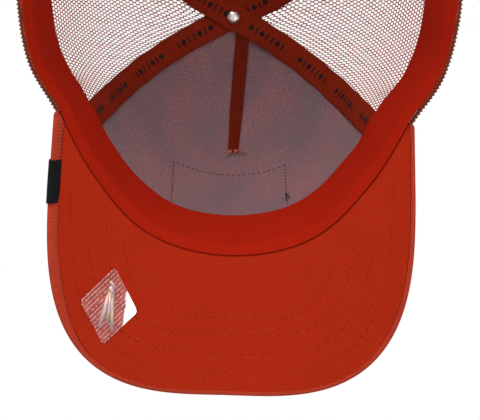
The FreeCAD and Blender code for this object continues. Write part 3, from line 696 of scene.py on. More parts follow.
patch_ground = woven("patch_canvas", tone(232, 222, 200), tone(176, 160, 132), pitch=0.8, turn=0.0,
                     cross=1.0)
satin_dark = woven("satin_dark_thread", tone(36, 34, 42), tone(10, 9, 12), pitch=0.5, turn=0.0, cross=0.1,
                   deep=0.25, rough=0.45, sheen=0.3)
satin_sun = woven("satin_sun_thread", tone(206, 104, 36), tone(130, 52, 14), pitch=0.5, turn=30.0, cross=0.1,
                  deep=0.22, rough=0.45)
satin_hill = woven("satin_hill_thread", tone(156, 42, 22), tone(92, 20, 10), pitch=0.5, turn=70.0,
                   cross=0.1, deep=0.22, rough=0.45)
foil_face = foil("foil_sticker")
silver = iridescent("foil_emblem")
nickel = metal("nickel_rivet", tone(206, 196, 194), 0.16)
steel = metal("pressed_steel", tone(150, 150, 152), 0.3)
foam_core = moulded("open_foam", tone(236, 228, 214), tone(206, 194, 176), rough=0.9, cells=True)
board_plastic = moulded("board_plastic", tone(66, 62, 60), tone(40, 38, 38), rough=0.5)
stiffener = woven("stiffener_felt", tone(222, 218, 210), tone(176, 170, 160), pitch=0.7, turn=20.0,
                  cross=1.0, solid=True)
strap_plastic = moulded("strap_plastic", tone(152, 38, 20), tone(120, 28, 14), rough=0.4)


# ---------------------------------------------------------------- front of the crown
def across_of(angle, s):
    """Distance round the crown from the middle of the front."""
    return np.radians(azimuth_of(angle)) * axis_distance(angle, s)


def foam_face(fullness):
    """Outer face of the foam, from pressed flat to full."""
    return FOAM_INNER + FOAM_PRESSED + (FOAM_THICK - FOAM_PRESSED) * fullness


def dart_dip(across, length):
    """How far the cloth dips into the dart above the front."""
    return np.exp(-(across / 1.1) ** 2) * smoothstep((length - 84.0) / 9.0)


def flat_size(points):
    """Widest run across, longest run up and the area of a grid of points, in metres."""
    up = np.linalg.norm(np.diff(points, axis=1), axis=-1).sum(1).max() / 1000.0
    wide = np.linalg.norm(np.diff(points, axis=0), axis=-1).sum(0).max() / 1000.0
    a, b = points[1:, 1:] - points[:-1, :-1], points[1:, :-1] - points[:-1, 1:]
    area = 0.5 * np.linalg.norm(np.cross(a, b), axis=-1).sum() / 1e6
    return (wide, up), area


def make_front():
    angle, s, u, v = front_grid(200, 150)
    length = length_at(angle, s)
    across = across_of(angle, s)
    fullness = (smoothstep(np.minimum(u, 1 - u) / FOAM_SIDE) * smoothstep((1 - v) / FOAM_TOP)
                * np.clip(0.5 + v / FOAM_BOTTOM, 0, 1))
    face = foam_face(fullness) + LAYER_GAP
    seam_near = np.exp(-np.minimum(u, 1 - u) * 110.0 / 7.0)
    puckers = 0.22 * seam_near * (1 + ripple(3, length, across, 9.0, 0.4))
    soft = 0.22 * np.clip(ripple(5, across, length, 34.0) + 0.6, 0, 2) * fullness
    high = face + FRONT_CLOTH + puckers + soft - 0.62 * dart_dip(across, length)
    low = np.minimum(face, high - 0.25)
    normal = crown_normal(angle, s)
    base = crown_point(angle, s)
    uv = np.stack([across, length], -1)
    outer = base + normal * high[..., None]
    rings = both_faces(outer, base + normal * low[..., None], 0.3)
    panel = loft("front_twill", rings, both_uv(uv), front_cloth, slot="front_twill")
    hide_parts("front_panel")

    angle, s, u, v = front_grid(150, 120)
    length = length_at(angle, s)
    across = across_of(angle, s)
    low = 0.1 - 0.26 * np.clip(0.5 + 0.5 * ripple(8, across, length, 18.0), 0, 1)
    edge = np.exp(-((np.abs(across) - PATCH_HALF_WIDTH) / 1.6) ** 2) * (length < PATCH_HIGH + 2)
    top_edge = np.exp(-((length - PATCH_HIGH) / 1.6) ** 2) * (np.abs(across) < PATCH_HALF_WIDTH + 2)
    low = low + 0.16 * np.maximum(edge, top_edge)
    normal = crown_normal(angle, s)
    base = crown_point(angle, s)
    inner = base + normal * low[..., None]
    rings = both_faces(base + normal * (low[..., None] + 0.22), inner, 0.1)
    uv = both_uv(np.stack([across, length], -1))
    lining = loft("lining_cloth", rings, uv, lining_cloth, slot="front_lining")
    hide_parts("front_lining")


def patch_point(side, length, offset):
    """Point on the front by its sideways place and its length up from the rim."""
    side, length = np.broadcast_arrays(np.asarray(side, float), np.asarray(length, float))
    angle = np.zeros(side.shape)
    for _ in range(9):
        point = crown_point(angle, station(angle, length))
        angle = angle + np.degrees((side - point[..., 0]) / np.hypot(point[..., 0], point[..., 1]))
    s = station(angle, length)
    return crown_at(angle, s, offset), crown_normal(angle, s)


def make_lining_stitches():
    """The patch's own stitches, which come through the lining as a dotted outline."""
    paths = []
    half = PATCH_HALF_WIDTH - 0.6
    for side in (-half, half):
        length = np.linspace(34.0, PATCH_HIGH - 0.8, 60)
        point, normal = patch_point(np.full(60, side), length, np.full(60, -0.12))
        paths.append((point, -normal))
    across = np.linspace(-half, half, 80)
    point, normal = patch_point(across, np.full(80, PATCH_HIGH - 0.8), np.full(80, -0.12))
    paths.append((point, -normal))
    stitches("lining_patch_stitches", paths, grey_thread, length=0.75, gap=1.75, radius=0.29, lift=0.14)


# ---------------------------------------------------------------- net
NET_ACROSS = 1.75
NET_UP = 2.15
NET_JOINT = 0.68           # half the height of the straight joint between two holes
NET_HOLE = (0.63, 1.12)    # half width and half height of a hole
NET_THICK = (0.30, 0.21)   # half thickness at the knots and between them
NET_OFFSET = 0.5
HEM_SPAN = (59.8, 148.0)   # rim angles of the doubled net's front and back end
HEM_HEIGHTS = (0.1, 8.6)   # lengths above the rim of its lower and upper edge


def net_wave(angle, length):
    """The net buckles outward above the sweatband and beside the seams."""
    above_band = np.exp(-((length - 36.0) / 15.0) ** 2)
    across = turn_of(angle) * 1.55
    waves = 0.5 + 0.5 * ripple(12, across, length, 15.0, 2.6)
    folds = 0.5 + 0.5 * ripple(13, across + 0.5 * length, length, 30.0, 2.0)
    return (1.5 * above_band * waves + 1.3 * folds) * smoothstep((length - 8.0) / 20.0)


def net(name, middle, left, right, low, high, offset, inside=None, node=None, yarn=None):
    """Net of staggered six-sided holes between two seams. left(s) and right(s) are rim angles
    and low(angle) and high(angle) are lengths above the rim. inside drops holes it is true for."""
    hexagon = [(0.0, NET_UP - NET_JOINT), (0.5 * NET_ACROSS, NET_JOINT), (0.5 * NET_ACROSS, -NET_JOINT),
               (0.0, NET_JOINT - NET_UP), (-0.5 * NET_ACROSS, -NET_JOINT), (-0.5 * NET_ACROSS, NET_JOINT)]
    rim = []
    for k in range(6):
        here, there = np.array(hexagon[k]), np.array(hexagon[(k + 1) % 6])
        rim += [here, 0.5 * (here + there)]
    rim = np.array(rim)
    turn = np.arange(12) * math.tau / 12
    hole = np.stack([NET_HOLE[0] * np.sin(turn), NET_HOLE[1] * np.cos(turn)], -1)
    knot = np.arange(12) % 2 == 0

    j, i = np.mgrid[0:76, -48:49]
    centre = np.stack([NET_ACROSS * (i + 0.5 * (j % 2)), NET_UP * j], -1).reshape(-1, 2).astype(float)

    def spots(pair):
        a, b = pair[..., 0], pair[..., 1]
        middle_angle = np.full(a.shape, angle_of(np.array(middle)))
        radius = np.maximum(axis_distance(middle_angle, station(middle_angle, b)), 2.0)
        azimuth = middle + np.degrees(a / radius)
        wrapped = np.clip(azimuth, -180.0, 180.0)
        angle = angle_of(wrapped) + (azimuth - wrapped)
        s = station(angle, b)
        first, last = left(s), right(s)
        lowest, highest = np.minimum(first, last), np.maximum(first, last)
        floor, ceiling = low(angle), high(angle)
        out = (angle < lowest) | (angle > highest) | (b < floor) | (b > ceiling)
        angle = np.clip(angle, lowest, highest)
        return angle, np.clip(b, low(angle), high(angle)), out

    outer = centre[:, None] + rim[None]
    angle, length, out = spots(outer)
    kept = ~out.all(1)
    if inside is not None:
        centre_angle, centre_length, _ = spots(centre)
        kept &= ~inside(crown_point(centre_angle, station(centre_angle, centre_length)))
    centre, outer = centre[kept], outer[kept]
    angle, length = angle[kept], length[kept]
    grown = 1.0 + 0.05 * ripple(17, centre[:, 0], centre[:, 1], 5.0)[:, None, None]
    holes = centre[:, None] + hole[None] * grown
    hole_angle, hole_length, _ = spots(holes)

    keys = np.round(outer.reshape(-1, 2) * 20.0).astype(int)
    _, first, index = np.unique(keys, axis=0, return_index=True, return_inverse=True)
    index = index.reshape(-1, 12)
    rim_angle, rim_length = angle.reshape(-1)[first], length.reshape(-1)[first]
    rim_thick = np.where(np.tile(knot, len(outer)), NET_THICK[0], NET_THICK[1])[first]
    rim_uv = outer.reshape(-1, 2)[first]

    def lift(angle, length, extra):
        return crown_at(angle, station(angle, length), offset + net_wave(angle, length) + extra)

    top = lift(rim_angle, rim_length, rim_thick)
    bottom = lift(rim_angle, rim_length, -rim_thick)
    ring = lift(hole_angle.reshape(-1), hole_length.reshape(-1), 0.0)
    count = len(first)
    hole_index = 2 * count + np.arange(len(ring)).reshape(-1, 12)
    following = np.roll(np.arange(12), -1)
    quads = [np.stack([index, index[:, following], hole_index[:, following], hole_index], -1).reshape(-1, 4),
             np.stack([index[:, following] + count, index + count, hole_index, hole_index[:, following]],
                      -1).reshape(-1, 4)]
    points = np.concatenate([top, bottom, ring])
    uv = np.concatenate([rim_uv, rim_uv, holes.reshape(-1, 2)])
    piece = make_piece(name, points, quads, uv, yarn or net_yarn, slot="mesh")
    if node:
        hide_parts(node)
    return piece


def net_top(angle):
    return length_at(angle, top_station(angle))


def in_opening(point):
    wide, tall = OPENING_HALF_WIDTH - 0.6, OPENING_HEIGHT - 0.6
    return (point[:, 1] > 0) & ((point[:, 0] / wide) ** 2 + (point[:, 2] / tall) ** 2 < 1)


def make_nets():
    for side, word in ((1, "left"), (-1, "right")):
        net(word + "_side_net", float(azimuth_of(side * 88.0)), beside(front_seam, side, 1),
            beside(back_seam, side, -1), visor_clearance, net_top, NET_OFFSET, node=word + "_side_mesh")
        net(word + "_back_net", float(azimuth_of(side * 150.0)), beside(back_seam, side, 1),
            beside(back_middle, side, -1), visor_clearance, net_top, NET_OFFSET,
            inside=in_opening, node=word + "_back_mesh")
        # Both hem layers take the net yarn painted darker as painted shade.
        for layer, middle, offset in (("inner", 104.0, 1.05), ("outer", 106.0, 1.6)):
            net(word + "_net_hem_" + layer, float(azimuth_of(side * middle)), steady(side * HEM_SPAN[0]),
                steady(side * HEM_SPAN[1]), steady(HEM_HEIGHTS[0]), steady(HEM_HEIGHTS[1]), offset,
                yarn=hem_yarn_painted_shade)


def make_net_folds():
    """The loops of the net where it is folded up round the rim."""
    paths = []
    for side in (1, -1):
        angle = side * np.linspace(60.6, 146.0, 500)
        for length, offset in ((0.3, 1.6), (1.7, 2.0), (3.2, 2.1)):
            paths.append(crown_row(angle, station(angle, length), offset))
    # The loops take the net yarn painted darker as painted shade.
    stitches("net_fold_loops", paths, hem_yarn_painted_shade, slot="mesh", length=1.05, gap=0.7, radius=0.34, lift=0.75)


# ---------------------------------------------------------------- tapes
def tape_frame(centre, q):
    here = crown_point(*centre(q))
    step = crown_point(*centre(q + 0.004)) - crown_point(*centre(q - 0.004))
    normal = crown_normal(*centre(q))
    return here, normal, unit(np.cross(normal, step))


def over_the_top(side):
    """Centre line from one front seam over the apex and down the opposite back seam."""
    def centre(q):
        s = 1.0 - np.abs(q)
        return np.where(q < 0, side * front_seam(s), -side * back_seam(s)), s
    return centre


def forward(q):
    return np.zeros(np.shape(q)), 1.0 + q


def backward(q):
    return np.full(np.shape(q), 180.0), 1.0 - q


class Tape:
    """A ribbon along a centre line, with its seam's thickness as a ridge under its middle."""

    def __init__(self, centre, width, first, last, levels, ridge, seed, ragged=0.0, shift=(0.0, 0.0)):
        self.centre, self.width, self.levels, self.ridge = centre, width, levels, ridge
        self.seed, self.ragged, self.shift = seed, ragged, shift
        self.q = np.linspace(first, last, 260)
        self.run = run_length(crown_point(*centre(self.q)))
        self.last = self.run[-1]

    def surface(self, distance, across, inward):
        """Point on the tape and its inward direction. across runs from -1 to 1."""
        distance, across = np.broadcast_arrays(distance, across)
        q = np.interp(distance, self.run, self.q)
        here, normal, side = tape_frame(self.centre, q)
        near_top = 1.0 - smoothstep((np.abs(q) - 0.10) / 0.14)
        free = smoothstep((np.abs(q) - 0.035) / 0.1)
        depth = self.levels * TAPE_STEP * near_top
        depth = depth + self.ridge * free * (1.0 - np.abs(across) ** 1.25)
        depth = depth + 0.16 * free * (1 + ripple(self.seed, distance, across * 3.0, 24.0))
        half = 0.5 * self.width * (1.0 + 0.02 * ripple(self.seed + 1, distance, 0 * distance, 17.0))
        if self.ragged:
            half = half * (1 + self.ragged * ripple(self.seed + 2, distance, across, 1.6)
                           * smoothstep((8.0 - distance) / 8.0))
            half = half * (0.8 + 0.2 * smoothstep(distance / 30.0))
        offset = half * across + self.shift[0] + (self.shift[1] - self.shift[0]) * distance / self.last
        sideways = side * offset[..., None]
        drop = offset ** 2 / 180.0
        return here + sideways + normal * (TAPE_OUTER - depth - drop - inward)[..., None], -normal


def make_tape(name, node, tape, material, columns=15):
    distance = np.linspace(0.0, tape.last, int(tape.last / 0.9) + 2)[:, None]
    across = np.linspace(-1.0, 1.0, columns)[None, :]
    low, _ = tape.surface(distance, across, 0.0)
    high, _ = tape.surface(distance, across, TAPE_THICK)
    uv = np.stack(np.broadcast_arrays(distance, across * tape.width / 2), -1)
    piece = loft(name, both_faces(high, low, 0.18), both_uv(uv), material, slot="tape")
    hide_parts(node)
    distance = np.linspace(1.0, tape.last - 1.0, 240)
    rows = []
    for edge in (-0.84, 0.84):
        rows.append(tape.surface(distance, np.full(240, edge), TAPE_THICK))
    stitches(name + "_stitches", rows, tape_thread, length=2.1, gap=0.9, radius=0.13, lift=0.1)


def print_marks(name, tape, groups, flip=1):
    """Groups of plain bars and lozenges printed along a tape."""
    rise = np.linspace(-1.0, 1.0, 9)
    aside = np.linspace(-1.0, 1.0, 5)
    bar = np.full(9, 0.42)
    lozenge = 1.45 * (1.0 - np.abs(rise)) + 0.06
    points, faces, uv = [], [], []
    for start in groups:
        for k, half in enumerate((bar, lozenge, bar, bar, lozenge, bar, lozenge)):
            centre = start + MARK_PITCH * k
            if not 3.0 < centre < tape.last - 3.0:
                continue
            distance = centre + half[:, None] * aside[None, :]
            across = (1.85 * rise[:, None] * flip + 0.0 * distance) / (0.5 * tape.width)
            low, _ = tape.surface(distance, across, 0.5)
            high, _ = tape.surface(distance, across, 0.62)
            ring = np.concatenate([high, low[:, ::-1]], 1)
            pair = np.stack([distance, across * 6.0], -1)
            uv.append(np.concatenate([pair, pair[:, ::-1]], 1).reshape(-1, 2))
            index = np.arange(90).reshape(9, 10) + 90 * len(points)
            faces += [side_faces(index[:-1], index[1:])] + end_faces(index[0], index[-1])
            points.append(ring.reshape(-1, 3))
    make_piece(name, np.concatenate(points), faces, np.concatenate(uv), black_print, slot="tape")


def strand(path, radius, sides=6):
    """Points, quads, caps and cloth coordinates of a thread along a path."""
    ahead = unit(np.gradient(path, axis=0))
    guide = np.array([0.31, 0.17, 0.93])
    side = unit(np.cross(ahead, guide))
    other = np.cross(ahead, side)
    turn = np.arange(sides) * math.tau / sides
    thick = radius * np.clip(np.linspace(1.1, 0.35, len(path)), 0.3, 1.0)
    points = path[:, None] + (side[:, None] * np.cos(turn)[None, :, None]
                              + other[:, None] * np.sin(turn)[None, :, None]) * thick[:, None, None]
    index = np.arange(len(path) * sides).reshape(-1, sides)
    quads = side_faces(index[:-1], index[1:])
    uv = np.stack(np.broadcast_arrays(run_length(path)[:, None], turn[None] * radius), -1)
    return points.reshape(-1, 3), [quads, np.stack([index[0, ::-1], index[-1]])], uv.reshape(-1, 2)


def loose_thread(side, length, reach, lean, sway, phase, radius=0.2):
    """A thread that lies along the lining, from a sideways place and a length above the rim."""
    t = np.linspace(0.0, 1.0, 14)
    wave = sway * np.sin(t * 4.2 + phase) - sway * math.sin(phase)
    across = side + reach * t * math.sin(lean) + wave * math.cos(lean)
    up = length - reach * t * math.cos(lean) + wave * math.sin(lean)
    point, _ = patch_point(across, up, -1.25 + 0.75 * t - 0.7 * np.sin(t * math.pi))
    return strand(point, radius)


def make_frayed_end():
    """Loose yarns at the cut end of the dart tape, and a knot at the patch's stitches."""
    rng = np.random.default_rng(44)
    long_ones = ((-0.4, 7.5, -1.25), (-2.6, 4.5, -0.9), (1.6, 5.0, 0.25), (0.6, 6.0, 0.75))
    for name, count, material in (("frayed_yarns", 15, frayed_yarn), ("frayed_pale_yarns", 7, pale_yarn)):
        rows = []
        for k in range(count):
            place_across, reach, lean = rng.uniform(-2.6, 2.6), rng.uniform(1.2, 3.6), rng.uniform(-0.8, 0.8)
            if k < 2:
                place_across, reach, lean = long_ones[k + (2 if count < 10 else 0)]
            rows.append(loose_thread(place_across - DART_SHIFT[0], 86.2, reach, lean, 0.12 * reach,
                                     rng.uniform(0, 6)))
        points, faces, uv = join_rows(rows)
        make_piece(name, points, faces, uv, material, slot="tape")
    knots = [loose_thread(0.6 - PATCH_HALF_WIDTH, 47.0, 4.0, -0.25, 0.3, 1.0, 0.42),
             loose_thread(0.4 - PATCH_HALF_WIDTH, 44.0, 2.2, 0.5, 0.4, 2.0, 0.36)]
    points, faces, uv = join_rows(knots)
    make_piece("patch_thread_knot", points, faces, uv, grey_thread, slot="thread")


def make_tapes():
    start = float(station(FRONT_SEAM[0], TAPE_START)) - 1.0
    finish = 1.0 - float(station(BACK_SEAM[0], TAPE_START))
    left = Tape(over_the_top(1), TAPE_WIDTH, start, finish, 0, 1.15, 51)
    right = Tape(over_the_top(-1), TAPE_WIDTH, start, finish, 2, 1.15, 56)
    dart = Tape(forward, DART_WIDTH, float(station(0.0, DART_END)) - 1.0, -DART_TOP, 1, 0.35, 61,
                ragged=0.16, shift=DART_SHIFT)
    above_opening = float(station(180.0, OPENING_HEIGHT + BINDING_OUTSIDE + 6.0))
    back = Tape(backward, TAPE_WIDTH, 0.012, 1.0 - above_opening, 1, 0.8, 66)
    make_tape("left_tape", "left_seam_tape", left, tape_cloth)
    make_tape("right_tape", "right_seam_tape", right, tape_cloth)
    make_tape("front_dart_tape", "dart_tape", dart, dart_cloth, columns=11)
    make_tape("rear_tape", "back_seam_tape", back, tape_cloth)
    groups = np.arange(20.0, 330.0, PRINT_GROUP)
    print_marks("left_tape_print", left, groups)
    print_marks("right_tape_print", right, groups + 2.0, -1)
    print_marks("rear_tape_print", back, np.arange(8.0, 90.0, PRINT_GROUP))
    make_frayed_end()


# ---------------------------------------------------------------- sweatband
def make_sweatband():
    angle = np.linspace(-BAND_END, BAND_END, 520)[:, None]
    share = np.concatenate([[0.0, 0.012, 0.028, 0.045, 0.07, 0.1, 0.14, 0.19, 0.25],
                            np.linspace(0.31, 0.94, 15), [0.965, 0.985, 1.0]])[None, :]
    round_rim = angle * 1.62
    top = BAND_HEIGHT + 0.4 * ripple(71, round_rim, 0 * round_rim, 34.0)
    length = share * top
    over_seam = np.exp(-((np.abs(angle) - FRONT_SEAM[0]) / 4.2) ** 2)
    wrinkle = np.clip(0.4 + ripple(72, round_rim, length, 26.0, 2.2), 0, 2) * smoothstep(length / 12.0)
    fold = np.exp(-((length - 1.5) / 0.55) ** 2)
    face = (BAND_ROOT - BAND_STAND_OFF * smoothstep(length / BAND_TURN) - 0.2 * wrinkle - 0.08 * fold
            - 0.9 * over_seam * smoothstep((length - 10.0) / 16.0))
    face = face - 0.13 * np.sin(1.5 * length + 1.6 * ripple(73, round_rim, length, 40.0)) * (
        smoothstep((length - 3.0) / 5.0) * smoothstep((top - 3.0 - length) / 5.0))
    back = face + BAND_CLOTH
    holds_lining = smoothstep((length - 6.0) / 3.0) * smoothstep((top - length) / 1.2)
    back = back + (-1.12 - back) * holds_lining
    s = station(angle, length)
    base, normal = crown_point(angle, s), crown_normal(angle, s)
    rings = both_faces(base + normal * back[..., None], base + normal * face[..., None], 0.38)
    uv = both_uv(np.stack(np.broadcast_arrays(round_rim, length), -1))
    piece = loft("sweatband_cloth", rings, uv, band_cloth, slot="sweatband")
    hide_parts("sweatband")


# ---------------------------------------------------------------- visor
def visor_outline():
    """The visor's edge from the wearer's right to the left, in plan."""
    turn = np.linspace(-0.5 * math.pi, 0.5 * math.pi, 3601)
    share = 2.0 / VISOR_ROUNDNESS
    x = VISOR_HALF_WIDTH * np.sign(turn) * np.abs(np.sin(turn)) ** share
    y = VISOR_WIDEST_Y - (VISOR_WIDEST_Y - VISOR_FRONT_Y) * np.maximum(np.cos(turn), 0.0) ** share
    slant = (VISOR_HALF_WIDTH - VISOR_CORNER_X) / (VISOR_CORNER_Y - VISOR_WIDEST_Y)
    side_y = np.linspace(VISOR_CORNER_Y - VISOR_CORNER_ROUND, VISOR_WIDEST_Y, 40)[:-1]
    side_x = VISOR_HALF_WIDTH - slant * (side_y - VISOR_WIDEST_Y)
    bend = np.linspace(0.5 * math.pi, 0.0, 12)[:-1]
    side_x = np.concatenate([side_x[0] + VISOR_CORNER_ROUND * (np.cos(bend) - 1.0), side_x])
    side_y = np.concatenate([side_y[0] + VISOR_CORNER_ROUND * np.sin(bend), side_y])
    return np.concatenate([np.stack([-side_x, side_y], -1), np.stack([x, y], -1),
                           np.stack([side_x, side_y], -1)[::-1]])


OUTLINE = visor_outline()
OUTLINE_RUN = run_length(OUTLINE)


def outline_at(t):
    """Point of the visor's outline and its inward direction. t runs from -1 at the wearer's
    right to 1 at the left."""
    def point(t):
        at = (np.asarray(t, float) + 1.0) * 0.5 * OUTLINE_RUN[-1]
        return np.stack([np.interp(at, OUTLINE_RUN, OUTLINE[:, k]) for k in (0, 1)], -1)

    ahead = unit(point(np.minimum(t + 0.006, 1.0)) - point(np.maximum(t - 0.006, -1.0)))
    return point(t), np.stack([-ahead[..., 1], ahead[..., 0]], -1)


def visor_reach(t, gap):
    """The outline, the crown's rim opposite it and the directions at both."""
    start, inward = outline_at(t)
    angle = VISOR_RIM_ANGLE * t
    ahead = (rim_point(angle + 0.5) - rim_point(angle - 0.5))[..., :2]
    outward = unit(np.stack([ahead[..., 1], -ahead[..., 0]], -1))
    end = rim_point(angle)[..., :2] + outward * gap
    return start, inward, end, outward, np.linalg.norm(end - start, axis=-1)


def visor_plan(t, inset, gap):
    """Plan position at an inset from the outline, on a curve that ends at the crown's rim."""
    t, inset = np.broadcast_arrays(np.asarray(t, float), np.asarray(inset, float))
    start, inward, end, outward, reach = visor_reach(t, gap)
    w = np.clip(inset / np.maximum(reach, 0.01), 0.0, 1.0)[..., None]
    w = np.where(inset[..., None] < 0, inset[..., None] / np.maximum(reach, 8.0)[..., None], w)
    third = reach[..., None] / 3.0
    return ((1 - w) ** 3 * start + 3 * w * (1 - w) ** 2 * (start + inward * third)
            + 3 * w * w * (1 - w) * (end + outward * third) + w ** 3 * end)


def visor_normal(x):
    root = np.sqrt(VISOR_BEND_RADIUS ** 2 - x * x)
    tangent = -x / root * math.cos(VISOR_SLOPE)
    size = np.hypot(1.0, tangent)
    return np.stack([-tangent / size, -math.sin(VISOR_SLOPE) / size, math.cos(VISOR_SLOPE) / size], -1)


def visor_at(plan, height):
    """Point over a plan position, at a height from the visor's underside, and the normal."""
    height = np.broadcast_to(np.asarray(height, float), plan.shape[:-1])
    foot = plan
    for _ in range(4):
        normal = visor_normal(foot[..., 0])
        foot = plan - normal[..., :2] * height[..., None]
    base = np.concatenate([foot, visor_z(foot[..., 0], foot[..., 1])[..., None]], -1)
    return base + normal * height[..., None], normal


def inset_of(plan):
    """Distance of plan positions from the visor's outline."""
    flat = plan.reshape(-1, 2)
    edge = OUTLINE[::8]
    best = [np.min(np.linalg.norm(part[:, None] - edge[None], axis=-1), axis=1)
            for part in np.array_split(flat, 1 + len(flat) // 2000)]
    return np.concatenate(best).reshape(plan.shape[:-1])


def row_grooves(inset, depth, width):
    """The covers are drawn in along each row of stitches and stand proud between the rows."""
    groove = sum(np.exp(-((inset - row - ROW_INSET) / width) ** 2) for row in STITCH_ROWS)
    return depth * groove


EDGE_RADIUS = 0.5 * VISOR_THICK


def lip_width(t):
    """How far the twill is folded under the visor's edge: widest at the wearer's left."""
    point, _ = outline_at(t)
    wide = np.where(point[..., 0] > 0, 5.0, 2.2)
    wider = np.where(point[..., 0] > 0, 1.9, 0.0)
    return (1.4 + (wide - 1.4) * smoothstep((point[..., 1] + 158.0) / 50.0)
            + wider * smoothstep((point[..., 1] + 102.0) / 40.0))


def wrap_round(t, offset, top_inset, gap, columns, lip_dive, straight=False, trim=0.0):
    """Points and cloth coordinates of a cover from the visor's top, round its edge and under
    it, at an offset from the outer face."""
    _, _, _, _, reach = visor_reach(t, gap)
    share = np.linspace(1.0, 0.0, columns) ** 1.15
    start = np.maximum(np.minimum(top_inset, reach), EDGE_RADIUS)
    top = EDGE_RADIUS + (start - EDGE_RADIUS)[:, None] * share[None, :]
    turn = np.radians(np.linspace(90.0, -90.0, 13))[1:-1]
    radius = EDGE_RADIUS + offset
    edge = np.broadcast_to(EDGE_RADIUS - radius * np.cos(turn), (len(t), len(turn)))
    edge_height = EDGE_RADIUS + radius * np.sin(turn)
    lip_share = np.linspace(0.0, 1.0, 9)
    lip = EDGE_RADIUS + np.maximum(lip_width(t) - trim - EDGE_RADIUS, 0.3)[:, None] * lip_share[None, :]
    inset = np.concatenate([top, edge, lip], 1)
    height = np.concatenate([np.full(columns, VISOR_THICK + offset), edge_height, np.full(9, -offset)])
    height = np.broadcast_to(height, inset.shape).copy()
    height[:, -3:] += lip_dive * np.array([0.12, 0.5, 1.0])
    past = np.concatenate([-top, EDGE_RADIUS * (0.5 * math.pi - turn)[None, :] - EDGE_RADIUS + 0 * edge,
                           EDGE_RADIUS * (math.pi - 2.0) + lip], 1)
    point, inward = outline_at(t)
    uv = point[:, None] - inward[:, None] * past[..., None]
    plan = visor_plan(t[:, None], inset, gap)
    if straight:
        plan = point[:, None] + inward[:, None] * inset[..., None]
    uv[:, :columns] = plan[:, :columns]
    return plan, height, uv


def make_visor_top():
    t = np.linspace(-1.0, 1.0, 340)
    columns = 42
    plan, height, uv = wrap_round(t, 0.0, 200.0, RIM_GAP, columns, 0.45)
    inset = inset_of(plan)
    on_top = (np.arange(height.shape[1]) < columns)[None, :]
    texture = 0.06 * ripple(81, plan[..., 0], plan[..., 1], 16.0)
    height = height + np.where(on_top, texture - row_grooves(inset, 0.3, 0.8) + 0.06, 0.0)
    outer, _ = visor_at(plan, height)
    inner_plan, inner_height, _ = wrap_round(t, -0.8, 200.0, RIM_GAP, columns, 0.1)
    inner, _ = visor_at(inner_plan, inner_height)
    piece = loft("visor_top_twill", both_faces(outer, inner, 0.2), both_uv(uv), visor_twill,
                 slot="front_twill")
    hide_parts("visor_top_cover")


def make_visor_under():
    t = np.linspace(-1.0, 1.0, 340)
    gap = -0.3
    _, _, _, _, reach = visor_reach(t, gap)
    lip = np.minimum(lip_width(t) + 0.12, reach)
    share = np.concatenate([[0.0, 0.004, 0.01, 0.02, 0.035], np.linspace(0.055, 0.97, 56), [0.985, 1.0]])
    inset = lip[:, None] + (reach - lip)[:, None] * share[None, :]
    plan = visor_plan(t[:, None], inset, gap)
    from_edge = inset_of(plan)
    start = inset - lip[:, None]
    sunk = 0.55 * np.exp(-(start / 0.35) ** 2)
    rows = row_grooves(from_edge, 0.13, 0.8)
    puff = 0.05 * ripple(84, plan[..., 0], plan[..., 1], 22.0)
    near_rim = reach[:, None] - inset
    tuck = 0.9 * np.exp(-(near_rim / 0.8) ** 2)
    edge_row = 0.1 * np.exp(-((start - 1.9) / 0.35) ** 2)
    face = sunk + rows + puff + tuck + edge_row
    low, _ = visor_at(plan, face)
    high, _ = visor_at(plan, np.maximum(0.78, face + 0.2))
    piece = loft("visor_under_cloth", both_faces(high, low, 0.12), both_uv(plan), under_cloth,
                 slot="visor_under")
    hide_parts("visor_under_cover")
    flat, area = flat_size(low)
    return piece, flat, area


def visor_rows(height, facing, insets, margin=6.5):
    """Paths at insets from the outline, and the direction in which thread stands up there."""
    paths = []
    for target in insets:
        t = np.linspace(-0.995, 0.995, 420)
        inset = np.full(len(t), float(target))
        for _ in range(4):
            inset = inset + target - inset_of(visor_plan(t, inset, 0.0))
        _, _, _, _, reach = visor_reach(t, 0.0)
        inside = (reach - inset > margin) & (inset < reach)
        plan = visor_plan(t, inset, 0.0)[inside]
        point, normal = visor_at(plan, height)
        paths.append((point, normal * facing))
    return paths


def make_visor_stitches():
    insets = [row + ROW_INSET for row in STITCH_ROWS]
    top = stitches("visor_top_stitches", visor_rows(VISOR_THICK - 0.2, 1, insets), red_thread,
                   length=3.1, gap=0.9, radius=0.2, lift=0.2)
    stitches("visor_under_stitches", visor_rows(0.1, -1, insets), under_thread,
             length=1.2, gap=3.0, radius=0.2, lift=0.05)
    stitches("visor_edge_stitches", visor_rows(VISOR_THICK + 0.02, 1, [3.4], 3.0), red_thread,
             length=2.4, gap=0.8, radius=0.18, lift=0.16)
    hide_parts("visor_stitching")


def make_tag():
    left = OUTLINE[:, 0] > 0
    order = np.argsort(OUTLINE[left][:, 1])
    ends = np.interp(TAG_Y, OUTLINE[left][order, 1], OUTLINE_RUN[left][order])
    t = np.linspace(*(ends / OUTLINE_RUN[-1] * 2.0 - 1.0), 30)
    wave = 0.05 * np.sin(np.linspace(0, 9, 30))[:, None]
    plan, height, uv = wrap_round(t, 0.6, TAG_TOP, RIM_GAP, 14, 0.9, straight=True, trim=TAG_TRIM)
    outer, _ = visor_at(plan, height + wave)
    plan, height, _ = wrap_round(t, 0.08, TAG_TOP, RIM_GAP, 14, 0.55, straight=True, trim=TAG_TRIM)
    inner, _ = visor_at(plan, height)
    piece = loft("side_tag_ribbon", both_faces(outer, inner, 0.1), both_uv(uv), black_ribbon,
                 slot="side_tag")
    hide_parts("visor_side_tag")


